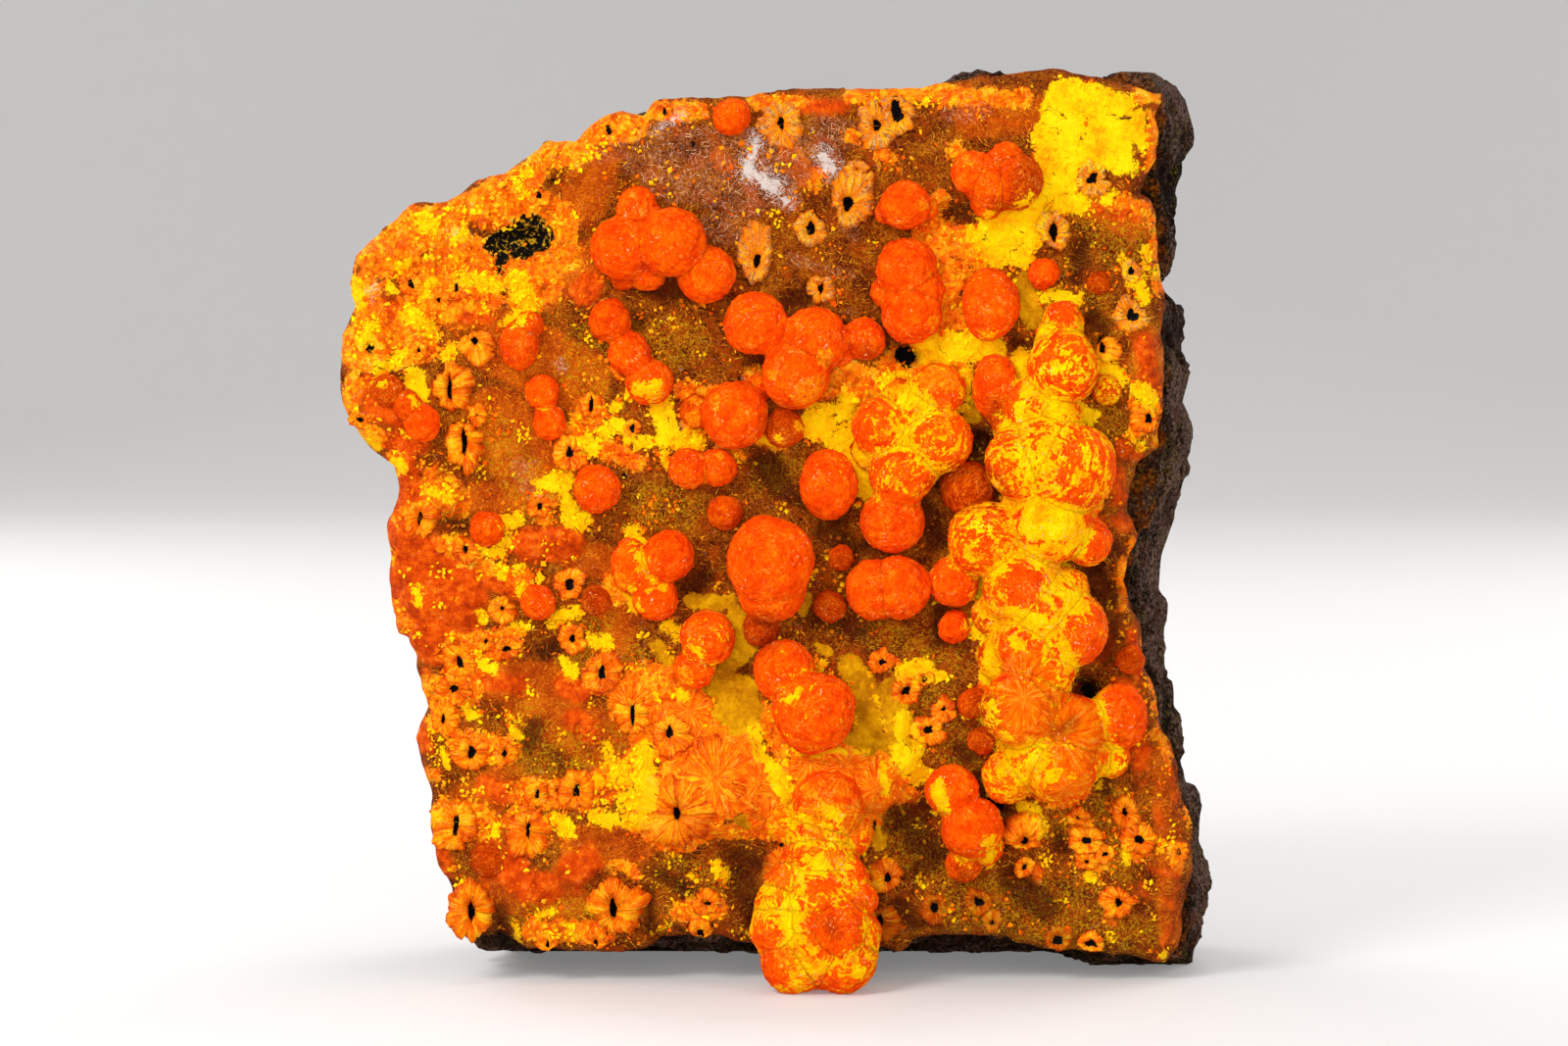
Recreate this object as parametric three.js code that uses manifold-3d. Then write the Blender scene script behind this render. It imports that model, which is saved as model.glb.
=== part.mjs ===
// Francevillite with curienite on sandstone: a broken slab of dark matrix, a drusy crust over its
// front, and the orange spherules and rosettes that stand on the crust.
// Millimetres, +Z up. The front faces -Y. The slab stands on its cut bottom and on the foot of the
// big lobe that hangs in front of it. The origin is the centre of the bottom of the whole box.

import * as THREE from 'three';
import { mergeVertices } from 'three/addons/utils/BufferGeometryUtils.js';
import Module from 'manifold-3d';

const wasm = await Module();
wasm.setup();

// ---------- driving dimensions ----------
const GAP = 0.3; // clearance between neighbouring solids
const DATUM = -0.6; // height of the lists' zero line above the base plane
const CRUST_BACK = 1.6; // the crust's mean front is y = 0, its flat back is here
const CRUST_REACH = 8; // nothing of the crust's face stands further forward than this
const MATRIX_FRONT = CRUST_BACK + GAP;
const MATRIX_BACK = 17.6;
const MATRIX_STEPS = 3;
const CRUST_CELL = 2.35; // spacing of the crust's facets
const ROCK_CELL = 4.3; // spacing of the facets on the matrix's broken back
const RIM_WIDTH = 1.3; // how far in from its outline the crust starts to roll back
const RIM_DROP = 0.85; // how far the rim rolls back
const FLARE = 1.7; // how much narrower the matrix is at its front, on the right
const FLARE_DEPTH = 4.0; // depth over which it widens
const FLARE_X = [14, 19]; // where across the front the flare grows to its full amount
const TAPER = 2.6; // how much it narrows towards its broken back
const SIDE_X = [8, 16]; // where across the front a side wall starts to count as one
const CROWN_Z = [36, 42]; // the same for the top
const WALL_WOBBLE = 0.45; // unevenness of the matrix's sides
const BACK_WOBBLE = 1.2; // and of its back
const SOLE_RISE = 2.2; // height of the matrix's lower front edge, over the base plane
const SOLE_FRONT = 11.0; // depth where the sole becomes flat
const CORNER_FRONT = 5.2; // the same at the lower right corner
const CORNER_X = [12.5, 16.5]; // where the sole changes from one to the other
const SMALL_BALL = 2.0; // spherules under this radius have fewer facets
const ROSETTE_SIDES = 9;
const SLIVER = 0.02; // facets thinner than this are merged into their neighbours
const BLOCK_SPAN = 64; // size of the blocks that trim the back and the feet

// Outline of the crust seen from the front, as (x, height over the datum), clockwise.
const CRUST_OUTLINE = [
  [-22.4, 31.9], [-22.25, 33.1], [-21.6, 35.2], [-21.75, 36.3], [-21.55, 37.8], [-20.2, 39.2],
  [-18.75, 40.3], [-16.8, 40.55], [-14.85, 41.65], [-13.9, 41.95], [-12.3, 43.1], [-11.85, 43.55],
  [-10.35, 43.6], [-9.55, 44.55], [-8.05, 45.15], [-6.9, 44.9], [-6.2, 45.6], [-4.95, 45.8],
  [-3.0, 45.8], [-1.5, 45.8], [0.8, 46.2], [3.0, 46.25], [6.3, 46.3], [8.1, 46.6],
  [11.8, 47.1], [13.65, 47.4], [15.6, 47.05], [17.85, 46.45], [19.75, 46.05], [19.15, 44.9],
  [19.25, 42.75], [18.45, 41.0], [19.0, 40.8], [19.2, 38.5], [19.55, 35.85], [19.5, 34.15],
  [19.5, 30.15], [19.3, 28.1], [18.2, 27.2], [17.7, 25.25], [18.25, 23.5], [17.85, 22.15],
  [17.7, 21.2], [18.0, 20.05], [18.8, 16.8], [19.55, 13.95], [20.65, 10.5], [21.15, 8.9],
  [21.15, 6.45], [20.5, 2.4], [19.8, 1.6], [18.65, 1.85], [15.45, 2.2], [12.45, 2.5],
  [11.55, 2.9], [8.55, 2.95], [6.95, 2.85], [6.1, 2.2], [4.9, 2.6], [-1.5, 2.7],
  [-4.45, 2.9], [-6.0, 2.95], [-7.0, 2.2], [-8.25, 2.1], [-12.85, 2.2], [-14.3, 2.9],
  [-16.4, 3.2], [-16.9, 3.9], [-17.0, 5.4], [-17.5, 6.55], [-17.7, 8.95], [-17.85, 10.35],
  [-18.4, 11.9], [-18.7, 13.1], [-18.0, 14.75], [-18.45, 15.65], [-18.5, 17.4], [-18.85, 18.4],
  [-19.4, 18.55], [-20.0, 20.6], [-20.05, 24.3], [-19.5, 25.7], [-19.7, 27.05], [-21.25, 28.3],
  [-21.85, 29.35], [-22.3, 30.4],
];

// Outline of the matrix at its widest, the same way. It is wider than the crust on the right.
const MATRIX_OUTLINE = [
  [-21.6, 33.2], [-20.9, 37.3], [-18.4, 39.6], [-14.7, 41.0], [-11.9, 42.8], [-9.5, 43.9],
  [-5.9, 45.1], [-1.5, 45.4], [3.0, 45.8], [8.0, 46.2], [9.3, 46.8], [11.5, 47.15],
  [13.6, 46.9], [16.7, 46.8], [17.9, 46.9], [20.2, 46.8], [21.0, 45.8], [21.4, 43.9],
  [21.0, 41.9], [21.6, 39.4], [21.5, 38.2], [21.1, 36.9], [20.3, 35.85], [21.3, 34.5],
  [21.0, 33.6], [21.3, 31.9], [21.1, 30.1], [21.6, 28.3], [21.1, 26.0], [20.5, 24.6],
  [19.7, 22.0], [19.7, 19.9], [20.3, 19.5], [19.8, 18.3], [19.7, 17.1], [20.7, 15.2],
  [21.1, 12.8], [21.7, 11.3], [22.5, 8.5], [22.2, 7.0], [22.8, 4.9], [22.7, 3.2],
  [22.5, 1.4], [21.6, 0.6], [16.5, 0.6], [12.5, 0.6], [6.0, 0.6], [-1.0, 0.6],
  [-8.0, 0.6], [-13.5, 0.6], [-15.9, 0.6], [-16.5, 3.6], [-17.0, 8.8], [-17.9, 13.0],
  [-17.7, 16.5], [-18.3, 18.7], [-19.5, 20.6], [-19.4, 24.2], [-19.1, 27.0], [-20.8, 28.8],
  [-21.7, 30.6],
];

// Swells and hollows of the crust: x, height, half width, half height, how far it stands proud.
const SWELLS = [
  [13.8, 28.0, 3.2, 6.5, 1.2], [13.3, 16.0, 3.4, 5.5, 1.1], [1.0, 11.2, 4.6, 3.0, 1.5],
  [-4.6, 10.2, 2.9, 2.7, 0.9], [2.0, 8.0, 2.8, 3.0, 1.1], [2.2, 16.5, 3.0, 3.6, 0.6],
  [6.0, 13.0, 1.7, 2.8, 0.5], [-19.5, 31.0, 3.0, 3.8, 0.6], [-15.0, 8.7, 3.6, 3.6, 0.3],
  [-10.8, 13.9, 2.0, 1.6, 0.6], [-14.7, 15.8, 2.2, 1.4, 0.5], [-13.2, 5.9, 2.1, 1.5, 0.6],
  [-10.0, 6.9, 1.8, 1.4, 0.5], [-16.3, 19.4, 1.8, 1.6, 0.5], [-9.4, 20.1, 1.2, 1.0, 0.5],
  [-10.8, 23.4, 1.2, 0.9, 0.5], [12.0, 41.3, 1.8, 1.6, 0.7], [19.0, 6.5, 2.0, 4.0, 0.3],
  [-0.8, 26.6, 2.4, 1.6, -0.7], [3.2, 23.8, 1.2, 1.6, -0.4], [-11.8, 15.9, 1.3, 0.9, -0.3],
  [15.9, 15.3, 0.9, 1.2, -0.9], [16.4, 21.2, 0.9, 1.2, -0.9], [11.2, 9.4, 0.7, 0.9, -0.9],
  [10.2, 28.1, 0.9, 0.9, -0.9], [6.5, 32.6, 0.7, 0.6, -0.9], [-2.0, 7.3, 2.0, 1.3, -0.6],
  [6.8, 8.0, 1.6, 1.8, -0.5], [-12.8, 38.6, 1.6, 0.9, -0.5], [16.2, 38.2, 1.6, 1.4, -0.4],
  [9.0, 40.1, 1.3, 0.6, -0.4], [3.0, 38.2, 4.5, 2.6, -0.2],
];

// Spherules of each cluster: x, height, radius, how far its centre stands in front of the crust as
// a share of the radius, and how much taller than wide it is where it isn't round.
const CLUSTERS = {
  spherules_top_left: [
    [-8.0, 38.25, 1.55, 0.55], [-5.45, 38.55, 1.75, 0.7], [-7.2, 40.3, 1.05, 0.5],
    [-3.7, 36.9, 1.45, 0.45],
  ],
  spherules_upper_left: [[-8.6, 34.6, 1.08, 0.5], [-7.6, 32.85, 1.1, 0.5], [-6.6, 31.4, 1.2, 0.3]],
  spherule_top_edge: [[-2.4, 44.85, 0.95, 0.3]],
  spherule_upper_centre: [[6.4, 40.4, 1.25, 0.5]],
  spherules_upper_right: [[9.9, 42.0, 1.15, 0.5], [11.4, 42.7, 0.85, 0.6], [11.7, 41.3, 1.65, 0.1]],
  spherule_column: [[6.45, 37.2, 1.5, 0.5], [6.7, 34.9, 1.55, 0.5]],
  spherules_centre: [
    [-1.2, 34.4, 1.62, 0.6], [1.8, 33.55, 1.7, 0.6], [0.85, 31.85, 1.75, 0.8], [4.35, 33.6, 1.1, 0.35],
  ],
  spherules_centre_left: [
    [-2.2, 29.75, 1.7, 0.5], [-4.2, 29.9, 0.85, 0.25],
  ],
  spherule_low_middle: [[0.25, 29.1, 1.0, 0.15]],
  spherules_small_pair: [[-4.6, 27.0, 1.0, 0.4], [-3.15, 27.05, 1.0, 0.35]],
  spherule_oval: [[2.5, 26.2, 1.45, 0.6, 1.25]],
  spherules_flecked: [
    [5.3, 29.1, 1.45, 0.55], [8.05, 30.9, 1.4, 0.45], [8.1, 28.4, 1.5, 0.7],
    [6.3, 26.85, 1.55, 0.8], [5.75, 24.35, 1.6, 0.45],
  ],
  spherules_centre_right: [[4.9, 20.9, 1.55, 0.55], [6.1, 21.0, 1.65, 0.6]],
  spherule_above_largest: [[-2.75, 24.75, 0.9, 0.1]],
  spherule_largest: [[-0.4, 22.4, 2.25, 0.8], [-0.4, 20.95, 1.75, 0.75]],
  spherules_left_centre: [
    [-5.6, 22.6, 1.3, 0.55], [-7.6, 22.1, 1.0, 0.35, 1.4], [-6.3, 20.4, 1.15, 0.4],
  ],
  spherule_low_centre: [[2.6, 20.0, 0.85, 0.1]],
  spherules_lower_left: [[-3.6, 18.4, 1.4, 0.5], [-4.3, 16.8, 1.05, 0.45]],
  spherules_lower_centre: [[0.3, 16.8, 1.6, 0.7], [1.8, 14.75, 2.1, 0.8]],
  spherule_right_upper: [[10.7, 35.4, 1.5, 0.55, 1.22]],
  spherule_below_rosette: [[13.45, 36.95, 0.8, 0.35]],
  spherule_mass_right: [
    [14.4, 34.4, 1.15, 0.65], [14.35, 32.15, 1.85, 0.6], [11.0, 31.0, 1.25, 0.35, 1.2],
    [12.9, 30.2, 1.5, 0.3], [14.9, 27.2, 2.2, 0.7], [12.3, 27.4, 1.85, 0.6],
    [13.8, 24.3, 1.95, 0.45], [15.6, 23.4, 1.3, 0.5], [10.4, 23.5, 1.85, 0.7],
    [8.9, 21.3, 1.3, 0.45], [12.3, 21.0, 1.9, 0.6], [14.8, 18.9, 1.85, 0.55],
    [12.6, 18.0, 1.6, 0.5], [12.2, 14.9, 1.95, 0.6], [14.9, 13.9, 1.7, 0.5],
    [14.3, 11.9, 1.9, 0.6], [11.7, 11.3, 1.35, 0.5], [17.3, 14.4, 1.45, 0.5, 1.15],
    [16.9, 12.2, 1.0, 0.35],
  ],
  spherule_beside_mass: [[8.9, 18.9, 0.85, 0.35]],
  spherules_lower_right: [
    [8.8, 10.6, 1.35, 0.6], [9.8, 8.7, 1.6, 0.65], [9.4, 6.8, 0.95, 0.55],
  ],
  spherule_left_upper: [[-13.2, 33.3, 1.0, 0.35, 1.3]],
  spherules_left_pair: [[-12.05, 30.9, 0.88, 0.35], [-11.7, 29.4, 0.85, 0.3, 1.15]],
  spherule_left_middle: [[-9.3, 26.0, 1.2, 0.5]],
  spherule_left_edge: [[-18.1, 29.4, 0.95, 0.35]],
  spherules_left_small: [[-14.9, 23.9, 0.9, 0.25]],
  spherule_left_low: [[-12.3, 20.2, 0.9, 0.3]],
};

// The lobe that hangs in front of the lower edge: x, y, height over the base plane, radius.
const LOBE = [
  [0.85, -3.7, 1.85, 1.95], [3.0, -3.8, 1.85, 1.92], [0.35, -3.5, 3.9, 1.8], [2.8, -4.0, 3.9, 1.8],
  [0.9, -3.0, 6.2, 1.75], [3.1, -3.1, 6.0, 1.65], [2.2, -2.6, 8.7, 1.95],
];

// The larger rosettes: x, height, half width, half height, thickness, radius of the hollow core.
const ROSETTES = {
  rosette_top_twin: [5.5, 44.55, 1.7, 1.3, 0.55, 0.22],
  rosette_upper_centre: [3.7, 40.7, 1.2, 1.5, 0.75, 0.22],
  rosette_elongated: [-1.15, 38.05, 0.95, 1.75, 0.7, 0.18],
  rosette_right_of_yellow: [13.85, 39.1, 1.0, 1.1, 0.7, 0.25],
  rosette_left_upper: [-16.7, 31.2, 1.15, 1.3, 0.75, 0.15],
  rosette_left_middle: [-16.0, 28.3, 1.1, 1.4, 0.8, 0.15],
  rosette_foot_left: [-15.7, 4.3, 1.2, 1.5, 1.1, 0.15],
  rosette_foot_large: [-8.4, 4.55, 1.45, 1.7, 1.0, 0.15],
  rosette_tube: [12.45, 8.4, 1.2, 1.1, 0.9, 0.18],
};

const COLOURS = {
  matrix: 0x3b302b,
  crust: 0xa5490f,
  spherule: 0xff5a05,
  rosette: 0xf28a1e,
  mass: 0xffa50a,
};

// ---------- helpers ----------
function solidOf(geometry) {
  const bare = new THREE.BufferGeometry();
  bare.setAttribute('position', geometry.getAttribute('position').clone());
  if (geometry.index) bare.setIndex(geometry.index.clone());
  const merged = mergeVertices(bare, 1e-5);
  const mesh = new wasm.Mesh({
    numProp: 3,
    vertProperties: Float32Array.from(merged.getAttribute('position').array),
    triVerts: Uint32Array.from(merged.index.array),
  });
  return new wasm.Manifold(mesh);
}

function geometryOf(solid) {
  const mesh = solid.simplify(SLIVER).getMesh();
  const geometry = new THREE.BufferGeometry();
  geometry.setAttribute('position', new THREE.BufferAttribute(mesh.vertProperties, 3));
  geometry.setIndex(new THREE.BufferAttribute(mesh.triVerts, 1));
  geometry.computeVertexNormals();
  return geometry;
}

function reshape(geometry, move) {
  const position = geometry.getAttribute('position');
  const point = new THREE.Vector3();
  for (let i = 0; i < position.count; i += 1) {
    point.fromBufferAttribute(position, i);
    move(point);
    position.setXYZ(i, point.x, point.y, point.z);
  }
  return geometry;
}

// 0 below a, 1 above b, smooth between.
function ramp(value, a, b) {
  return THREE.MathUtils.smoothstep(value, a, b);
}

// Uneven rock, about -1 to 1, from a few crossing waves.
function rough(x, y, z) {
  const coarse = Math.sin(0.55 * x + 0.3 * z + 1.3) * Math.cos(0.42 * z - 0.5 * y);
  const middle = Math.sin(1.3 * x - 0.8 * y + 0.4) * Math.sin(1.1 * z + 0.9 * y + 2.0);
  const fine = Math.sin(2.9 * x + 1.7 * y) * Math.cos(2.6 * z - 1.9 * x);
  return 0.5 * coarse + 0.33 * middle + 0.17 * fine;
}

// Distance from a point to the nearest side of an outline.
function edgeDistance(outline, x, z) {
  const closest = new THREE.Vector3();
  const point = new THREE.Vector3(x, z, 0);
  const side = new THREE.Line3();
  let best = Infinity;
  outline.forEach(([ax, az], i) => {
    const [bx, bz] = outline[(i + 1) % outline.length];
    side.set(new THREE.Vector3(ax, az, 0), new THREE.Vector3(bx, bz, 0));
    side.closestPointToPoint(point, true, closest);
    best = Math.min(best, closest.distanceTo(point));
  });
  return best;
}

function outlineShape(outline) {
  return new THREE.Shape(outline.map(([x, z]) => new THREE.Vector2(x, z + DATUM)));
}

// An outline extruded along Y, from the front plane to the back plane.
function prism(outline, front, back, steps) {
  const geometry = new THREE.ExtrudeGeometry(outlineShape(outline), {
    depth: back - front,
    steps,
    bevelEnabled: false,
  });
  geometry.rotateX(Math.PI / 2);
  geometry.translate(0, back, 0);
  return geometry;
}

// How far the crust's face stands in front of y = 0 at x and height z over the datum.
function relief(x, z) {
  let height = 0;
  for (const [cx, cz, wide, tall, proud] of SWELLS) {
    const u = (x - cx) / wide;
    const v = (z - cz) / tall;
    height += proud * Math.exp(-(u * u + v * v));
  }
  return height;
}

function rimDrop(x, z) {
  const inward = 1 - Math.min(edgeDistance(CRUST_OUTLINE, x, z) / RIM_WIDTH, 1);
  return RIM_DROP * inward * inward;
}

// A block whose front follows the crust's face, moved forward by lift.
function reliefBlock(lift, cell) {
  const box = new THREE.Box2().setFromPoints(CRUST_OUTLINE.map(([x, z]) => new THREE.Vector2(x, z)));
  box.expandByScalar(cell);
  const size = box.getSize(new THREE.Vector2());
  const middle = box.getCenter(new THREE.Vector2());
  const across = Math.round(size.x / cell);
  const up = Math.round(size.y / cell);
  const block = new THREE.BoxGeometry(size.x, 2, size.y, across, 1, up);
  return reshape(block, (p) => {
    const x = p.x + middle.x;
    const z = p.z + middle.y;
    const isFront = p.y < 0;
    p.set(x, isFront ? rimDrop(x, z) - relief(x, z) - lift : MATRIX_FRONT, z + DATUM);
  });
}

function ball(x, y, z, radius, taller, turn) {
  const geometry = radius < SMALL_BALL
    ? new THREE.SphereGeometry(radius, 7, 5)
    : new THREE.IcosahedronGeometry(radius, 1);
  geometry.rotateX(turn);
  geometry.rotateZ(1.7 * turn);
  geometry.scale(1, 1, taller);
  geometry.translate(x, y, z);
  return solidOf(geometry);
}

// ---------- pieces ----------
function crustSolid() {
  const outline = solidOf(prism(CRUST_OUTLINE, -CRUST_REACH, CRUST_BACK, 1));
  return solidOf(reliefBlock(0, CRUST_CELL)).intersect(outline);
}

// Height of the matrix's underside at x and depth y.
function soleHeight(x, y) {
  const flatFrom = THREE.MathUtils.lerp(SOLE_FRONT, CORNER_FRONT, ramp(x, ...CORNER_X));
  const rise = THREE.MathUtils.lerp(SOLE_RISE, SOLE_RISE / 2, ramp(x, ...CORNER_X));
  return rise * Math.max(0, 1 - (y - MATRIX_FRONT) / (flatFrom - MATRIX_FRONT));
}

function matrixSolid() {
  const shape = prism(MATRIX_OUTLINE, MATRIX_FRONT, MATRIX_BACK, MATRIX_STEPS);
  reshape(shape, (p) => {
    const isSole = p.z < 0.01;
    const flare = FLARE * (1 - ramp(p.y, MATRIX_FRONT, MATRIX_FRONT + FLARE_DEPTH));
    const taper = TAPER * ramp(p.y, MATRIX_FRONT + FLARE_DEPTH, MATRIX_BACK);
    const wobble = WALL_WOBBLE * rough(p.x, p.y, p.z) * ramp(p.y, MATRIX_FRONT, MATRIX_FRONT + 1);
    const side = ramp(Math.abs(p.x), ...SIDE_X);
    const narrow = flare * ramp(p.x, ...FLARE_X) + taper * side;
    if (!isSole) {
      p.z -= (0.5 * taper + wobble) * ramp(p.z, ...CROWN_Z);
    }
    p.x += wobble * side - Math.sign(p.x) * narrow;
    if (isSole) {
      p.z = soleHeight(p.x, p.y);
    }
  });
  const cells = Math.round(BLOCK_SPAN / ROCK_CELL);
  const rock = new THREE.BoxGeometry(BLOCK_SPAN, 2, BLOCK_SPAN, cells, 1, cells);
  reshape(rock, (p) => {
    const isBack = p.y > 0;
    p.z += BLOCK_SPAN / 3;
    p.y = isBack ? MATRIX_BACK - BACK_WOBBLE * (1 - rough(p.x, 0, p.z)) : MATRIX_FRONT - 1;
  });
  return solidOf(shape).intersect(solidOf(rock));
}

function clusterSolid(balls) {
  let cluster = null;
  balls.forEach(([x, z, radius, stand, taller = 1], i) => {
    const y = -relief(x, z) - stand * radius;
    const one = ball(x, y, z + DATUM, radius, taller, 0.7 * i + 0.2);
    cluster = cluster ? cluster.add(one) : one;
  });
  return cluster.subtract(crustClearance);
}

function lobeSolid() {
  let lobe = null;
  LOBE.forEach(([x, y, z, radius], i) => {
    const one = ball(x, y, z, radius, 1, 0.6 * i + 0.3);
    lobe = lobe ? lobe.add(one) : one;
  });
  const floor = new THREE.BoxGeometry(BLOCK_SPAN, BLOCK_SPAN, BLOCK_SPAN);
  floor.translate(0, 0, -BLOCK_SPAN / 2);
  return lobe.subtract(solidOf(floor)).subtract(crustClearance);
}

// A low round cushion with a dimple at its core, standing on the crust.
function rosetteSolid([x, z, wide, tall, thick, core]) {
  const profile = [[0, -1], [1, -1], [1, 0.4], [0.7, 1], [core, 0.8], [0, 0.4]];
  const points = profile.map(([radius, height]) => new THREE.Vector2(radius, height * thick));
  const geometry = new THREE.LatheGeometry(points, ROSETTE_SIDES);
  geometry.rotateX(Math.PI);
  geometry.scale(wide, 1, tall);
  geometry.translate(x, -relief(x, z), z + DATUM);
  return solidOf(geometry).subtract(crustClearance);
}

const crustClearance = solidOf(reliefBlock(GAP, CRUST_CELL));

const group = new THREE.Group();
function addPiece(name, solid, colour) {
  const material = new THREE.MeshStandardMaterial({ color: colour, roughness: 0.8, metalness: 0 });
  const mesh = new THREE.Mesh(geometryOf(solid), material);
  mesh.name = name;
  group.add(mesh);
}

addPiece('matrix', matrixSolid(), COLOURS.matrix);
addPiece('crust', crustSolid(), COLOURS.crust);
for (const [name, balls] of Object.entries(CLUSTERS)) {
  addPiece(name, clusterSolid(balls), name === 'spherule_mass_right' ? COLOURS.mass : COLOURS.spherule);
}
addPiece('lobe_front', lobeSolid(), COLOURS.mass);
for (const [name, rosette] of Object.entries(ROSETTES)) {
  addPiece(name, rosetteSolid(rosette), COLOURS.rosette);
}

const bounds = new THREE.Box3().setFromObject(group);
const middle = bounds.getCenter(new THREE.Vector3());
group.position.set(-middle.x, -middle.y, -bounds.min.z);

export default group;
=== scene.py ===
"""Francevillite with curienite on sandstone: the looks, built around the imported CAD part.

The lists below are in millimetres: x, and height over the lists' zero line, which is DATUM over the
floor. They repeat the part's own places and add what is too small for it. The front faces -Y.
Everything random is seeded.
"""

import math

import bmesh
import bpy
import numpy as np
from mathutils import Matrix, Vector


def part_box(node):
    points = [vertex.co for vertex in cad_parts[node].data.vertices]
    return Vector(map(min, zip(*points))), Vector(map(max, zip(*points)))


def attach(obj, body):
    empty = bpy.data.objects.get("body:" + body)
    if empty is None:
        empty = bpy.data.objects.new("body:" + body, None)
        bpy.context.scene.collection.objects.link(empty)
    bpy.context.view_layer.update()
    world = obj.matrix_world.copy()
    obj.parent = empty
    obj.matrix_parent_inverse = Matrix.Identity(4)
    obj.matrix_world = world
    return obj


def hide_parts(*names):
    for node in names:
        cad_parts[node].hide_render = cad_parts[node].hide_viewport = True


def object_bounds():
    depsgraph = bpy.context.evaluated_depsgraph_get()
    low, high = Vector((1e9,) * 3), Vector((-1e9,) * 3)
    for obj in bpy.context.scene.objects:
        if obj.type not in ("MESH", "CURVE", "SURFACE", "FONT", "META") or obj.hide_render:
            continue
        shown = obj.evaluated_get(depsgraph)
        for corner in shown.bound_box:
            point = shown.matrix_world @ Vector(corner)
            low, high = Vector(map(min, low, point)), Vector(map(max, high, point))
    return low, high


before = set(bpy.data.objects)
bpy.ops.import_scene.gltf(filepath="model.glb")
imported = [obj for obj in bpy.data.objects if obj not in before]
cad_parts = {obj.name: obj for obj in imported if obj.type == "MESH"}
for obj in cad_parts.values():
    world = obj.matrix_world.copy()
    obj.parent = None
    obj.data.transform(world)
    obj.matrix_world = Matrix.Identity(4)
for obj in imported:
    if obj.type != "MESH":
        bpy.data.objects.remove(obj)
cad_low, cad_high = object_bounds()

# ---------- units and place ----------
MM = 0.001
DATUM = -0.6  # the lists' zero line, over the floor
CRUST_BACK = 1.6  # the crust's back plane in the lists' frame; its mean front is y = 0
CRUST_LEFT = -22.4  # the outline's leftmost point
crust_low, crust_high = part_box("crust")
SHIFT = np.array([crust_low.x / MM - CRUST_LEFT, crust_high.y / MM - CRUST_BACK, 0.0])
LOW = np.array(cad_low) / MM - SHIFT
HIGH = np.array(cad_high) / MM - SHIFT
EDGE_PLAY = 0.02  # the looks stay this far inside the CAD model's box
ROCK_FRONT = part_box("matrix")[0].y / MM  # y of the slab's front, in the frame

# ---------- sizes of the surfaces, in mm ----------
CELL = 0.15  # spacing of the crust's grid
BALL_VOXEL = 0.12
ROCK_VOXEL = 0.38
RIM_WIDTH = 1.3  # the crust's face curves back over this width inside its outline
RIM_DROP = 0.85  # and by this much at the outline
WALL_TOP = 1.1  # y of the wall's first row, behind the rim
CRUST_ROOT = 2.3  # y that the crust's wall reaches, in the matrix
WALL_ROWS = 4
POWDER = 0.07  # thickness of the yellow powder
BALL_ROOT = 0.35  # how deep a ball's back reaches into the crust
PAINT_SLOPE = 1.1  # how fast a painted zone fades, per mm over its edge
GRAIN_LEVEL = 0.55  # distance from a grain's middle, in grains, where it neither stands out nor sinks
FELT_TRIES = 74000  # about half of the felt's blades are kept
CRUMB_TRIES = 36000  # and about a quarter of the crumbs

# Layers of noise: how large the lumps are, and how high.
OUTLINE_NOISE = [(1.7, 0.16), (0.8, 0.1), (0.45, 0.05)]
FACE_NOISE = [(2.6, 0.16), (1.2, 0.1), (0.6, 0.07), (0.33, 0.05)]
WALL_NOISE = [(0.9, 0.12), (0.4, 0.08)]
BALL_NOISE = [(1.3, 0.07), (0.55, 0.05), (0.15, 0.02)]
ROSETTE_NOISE = [(0.7, 0.14), (0.3, 0.12), (0.16, 0.05)]
ROCK_NOISE = [(5.0, 0.5), (2.2, 0.2), (0.95, 0.2), (0.5, 0.2)]
CHUNKS = [(0.4, 0.18), (0.75, 0.34), (1.6, 0.4)]

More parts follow.
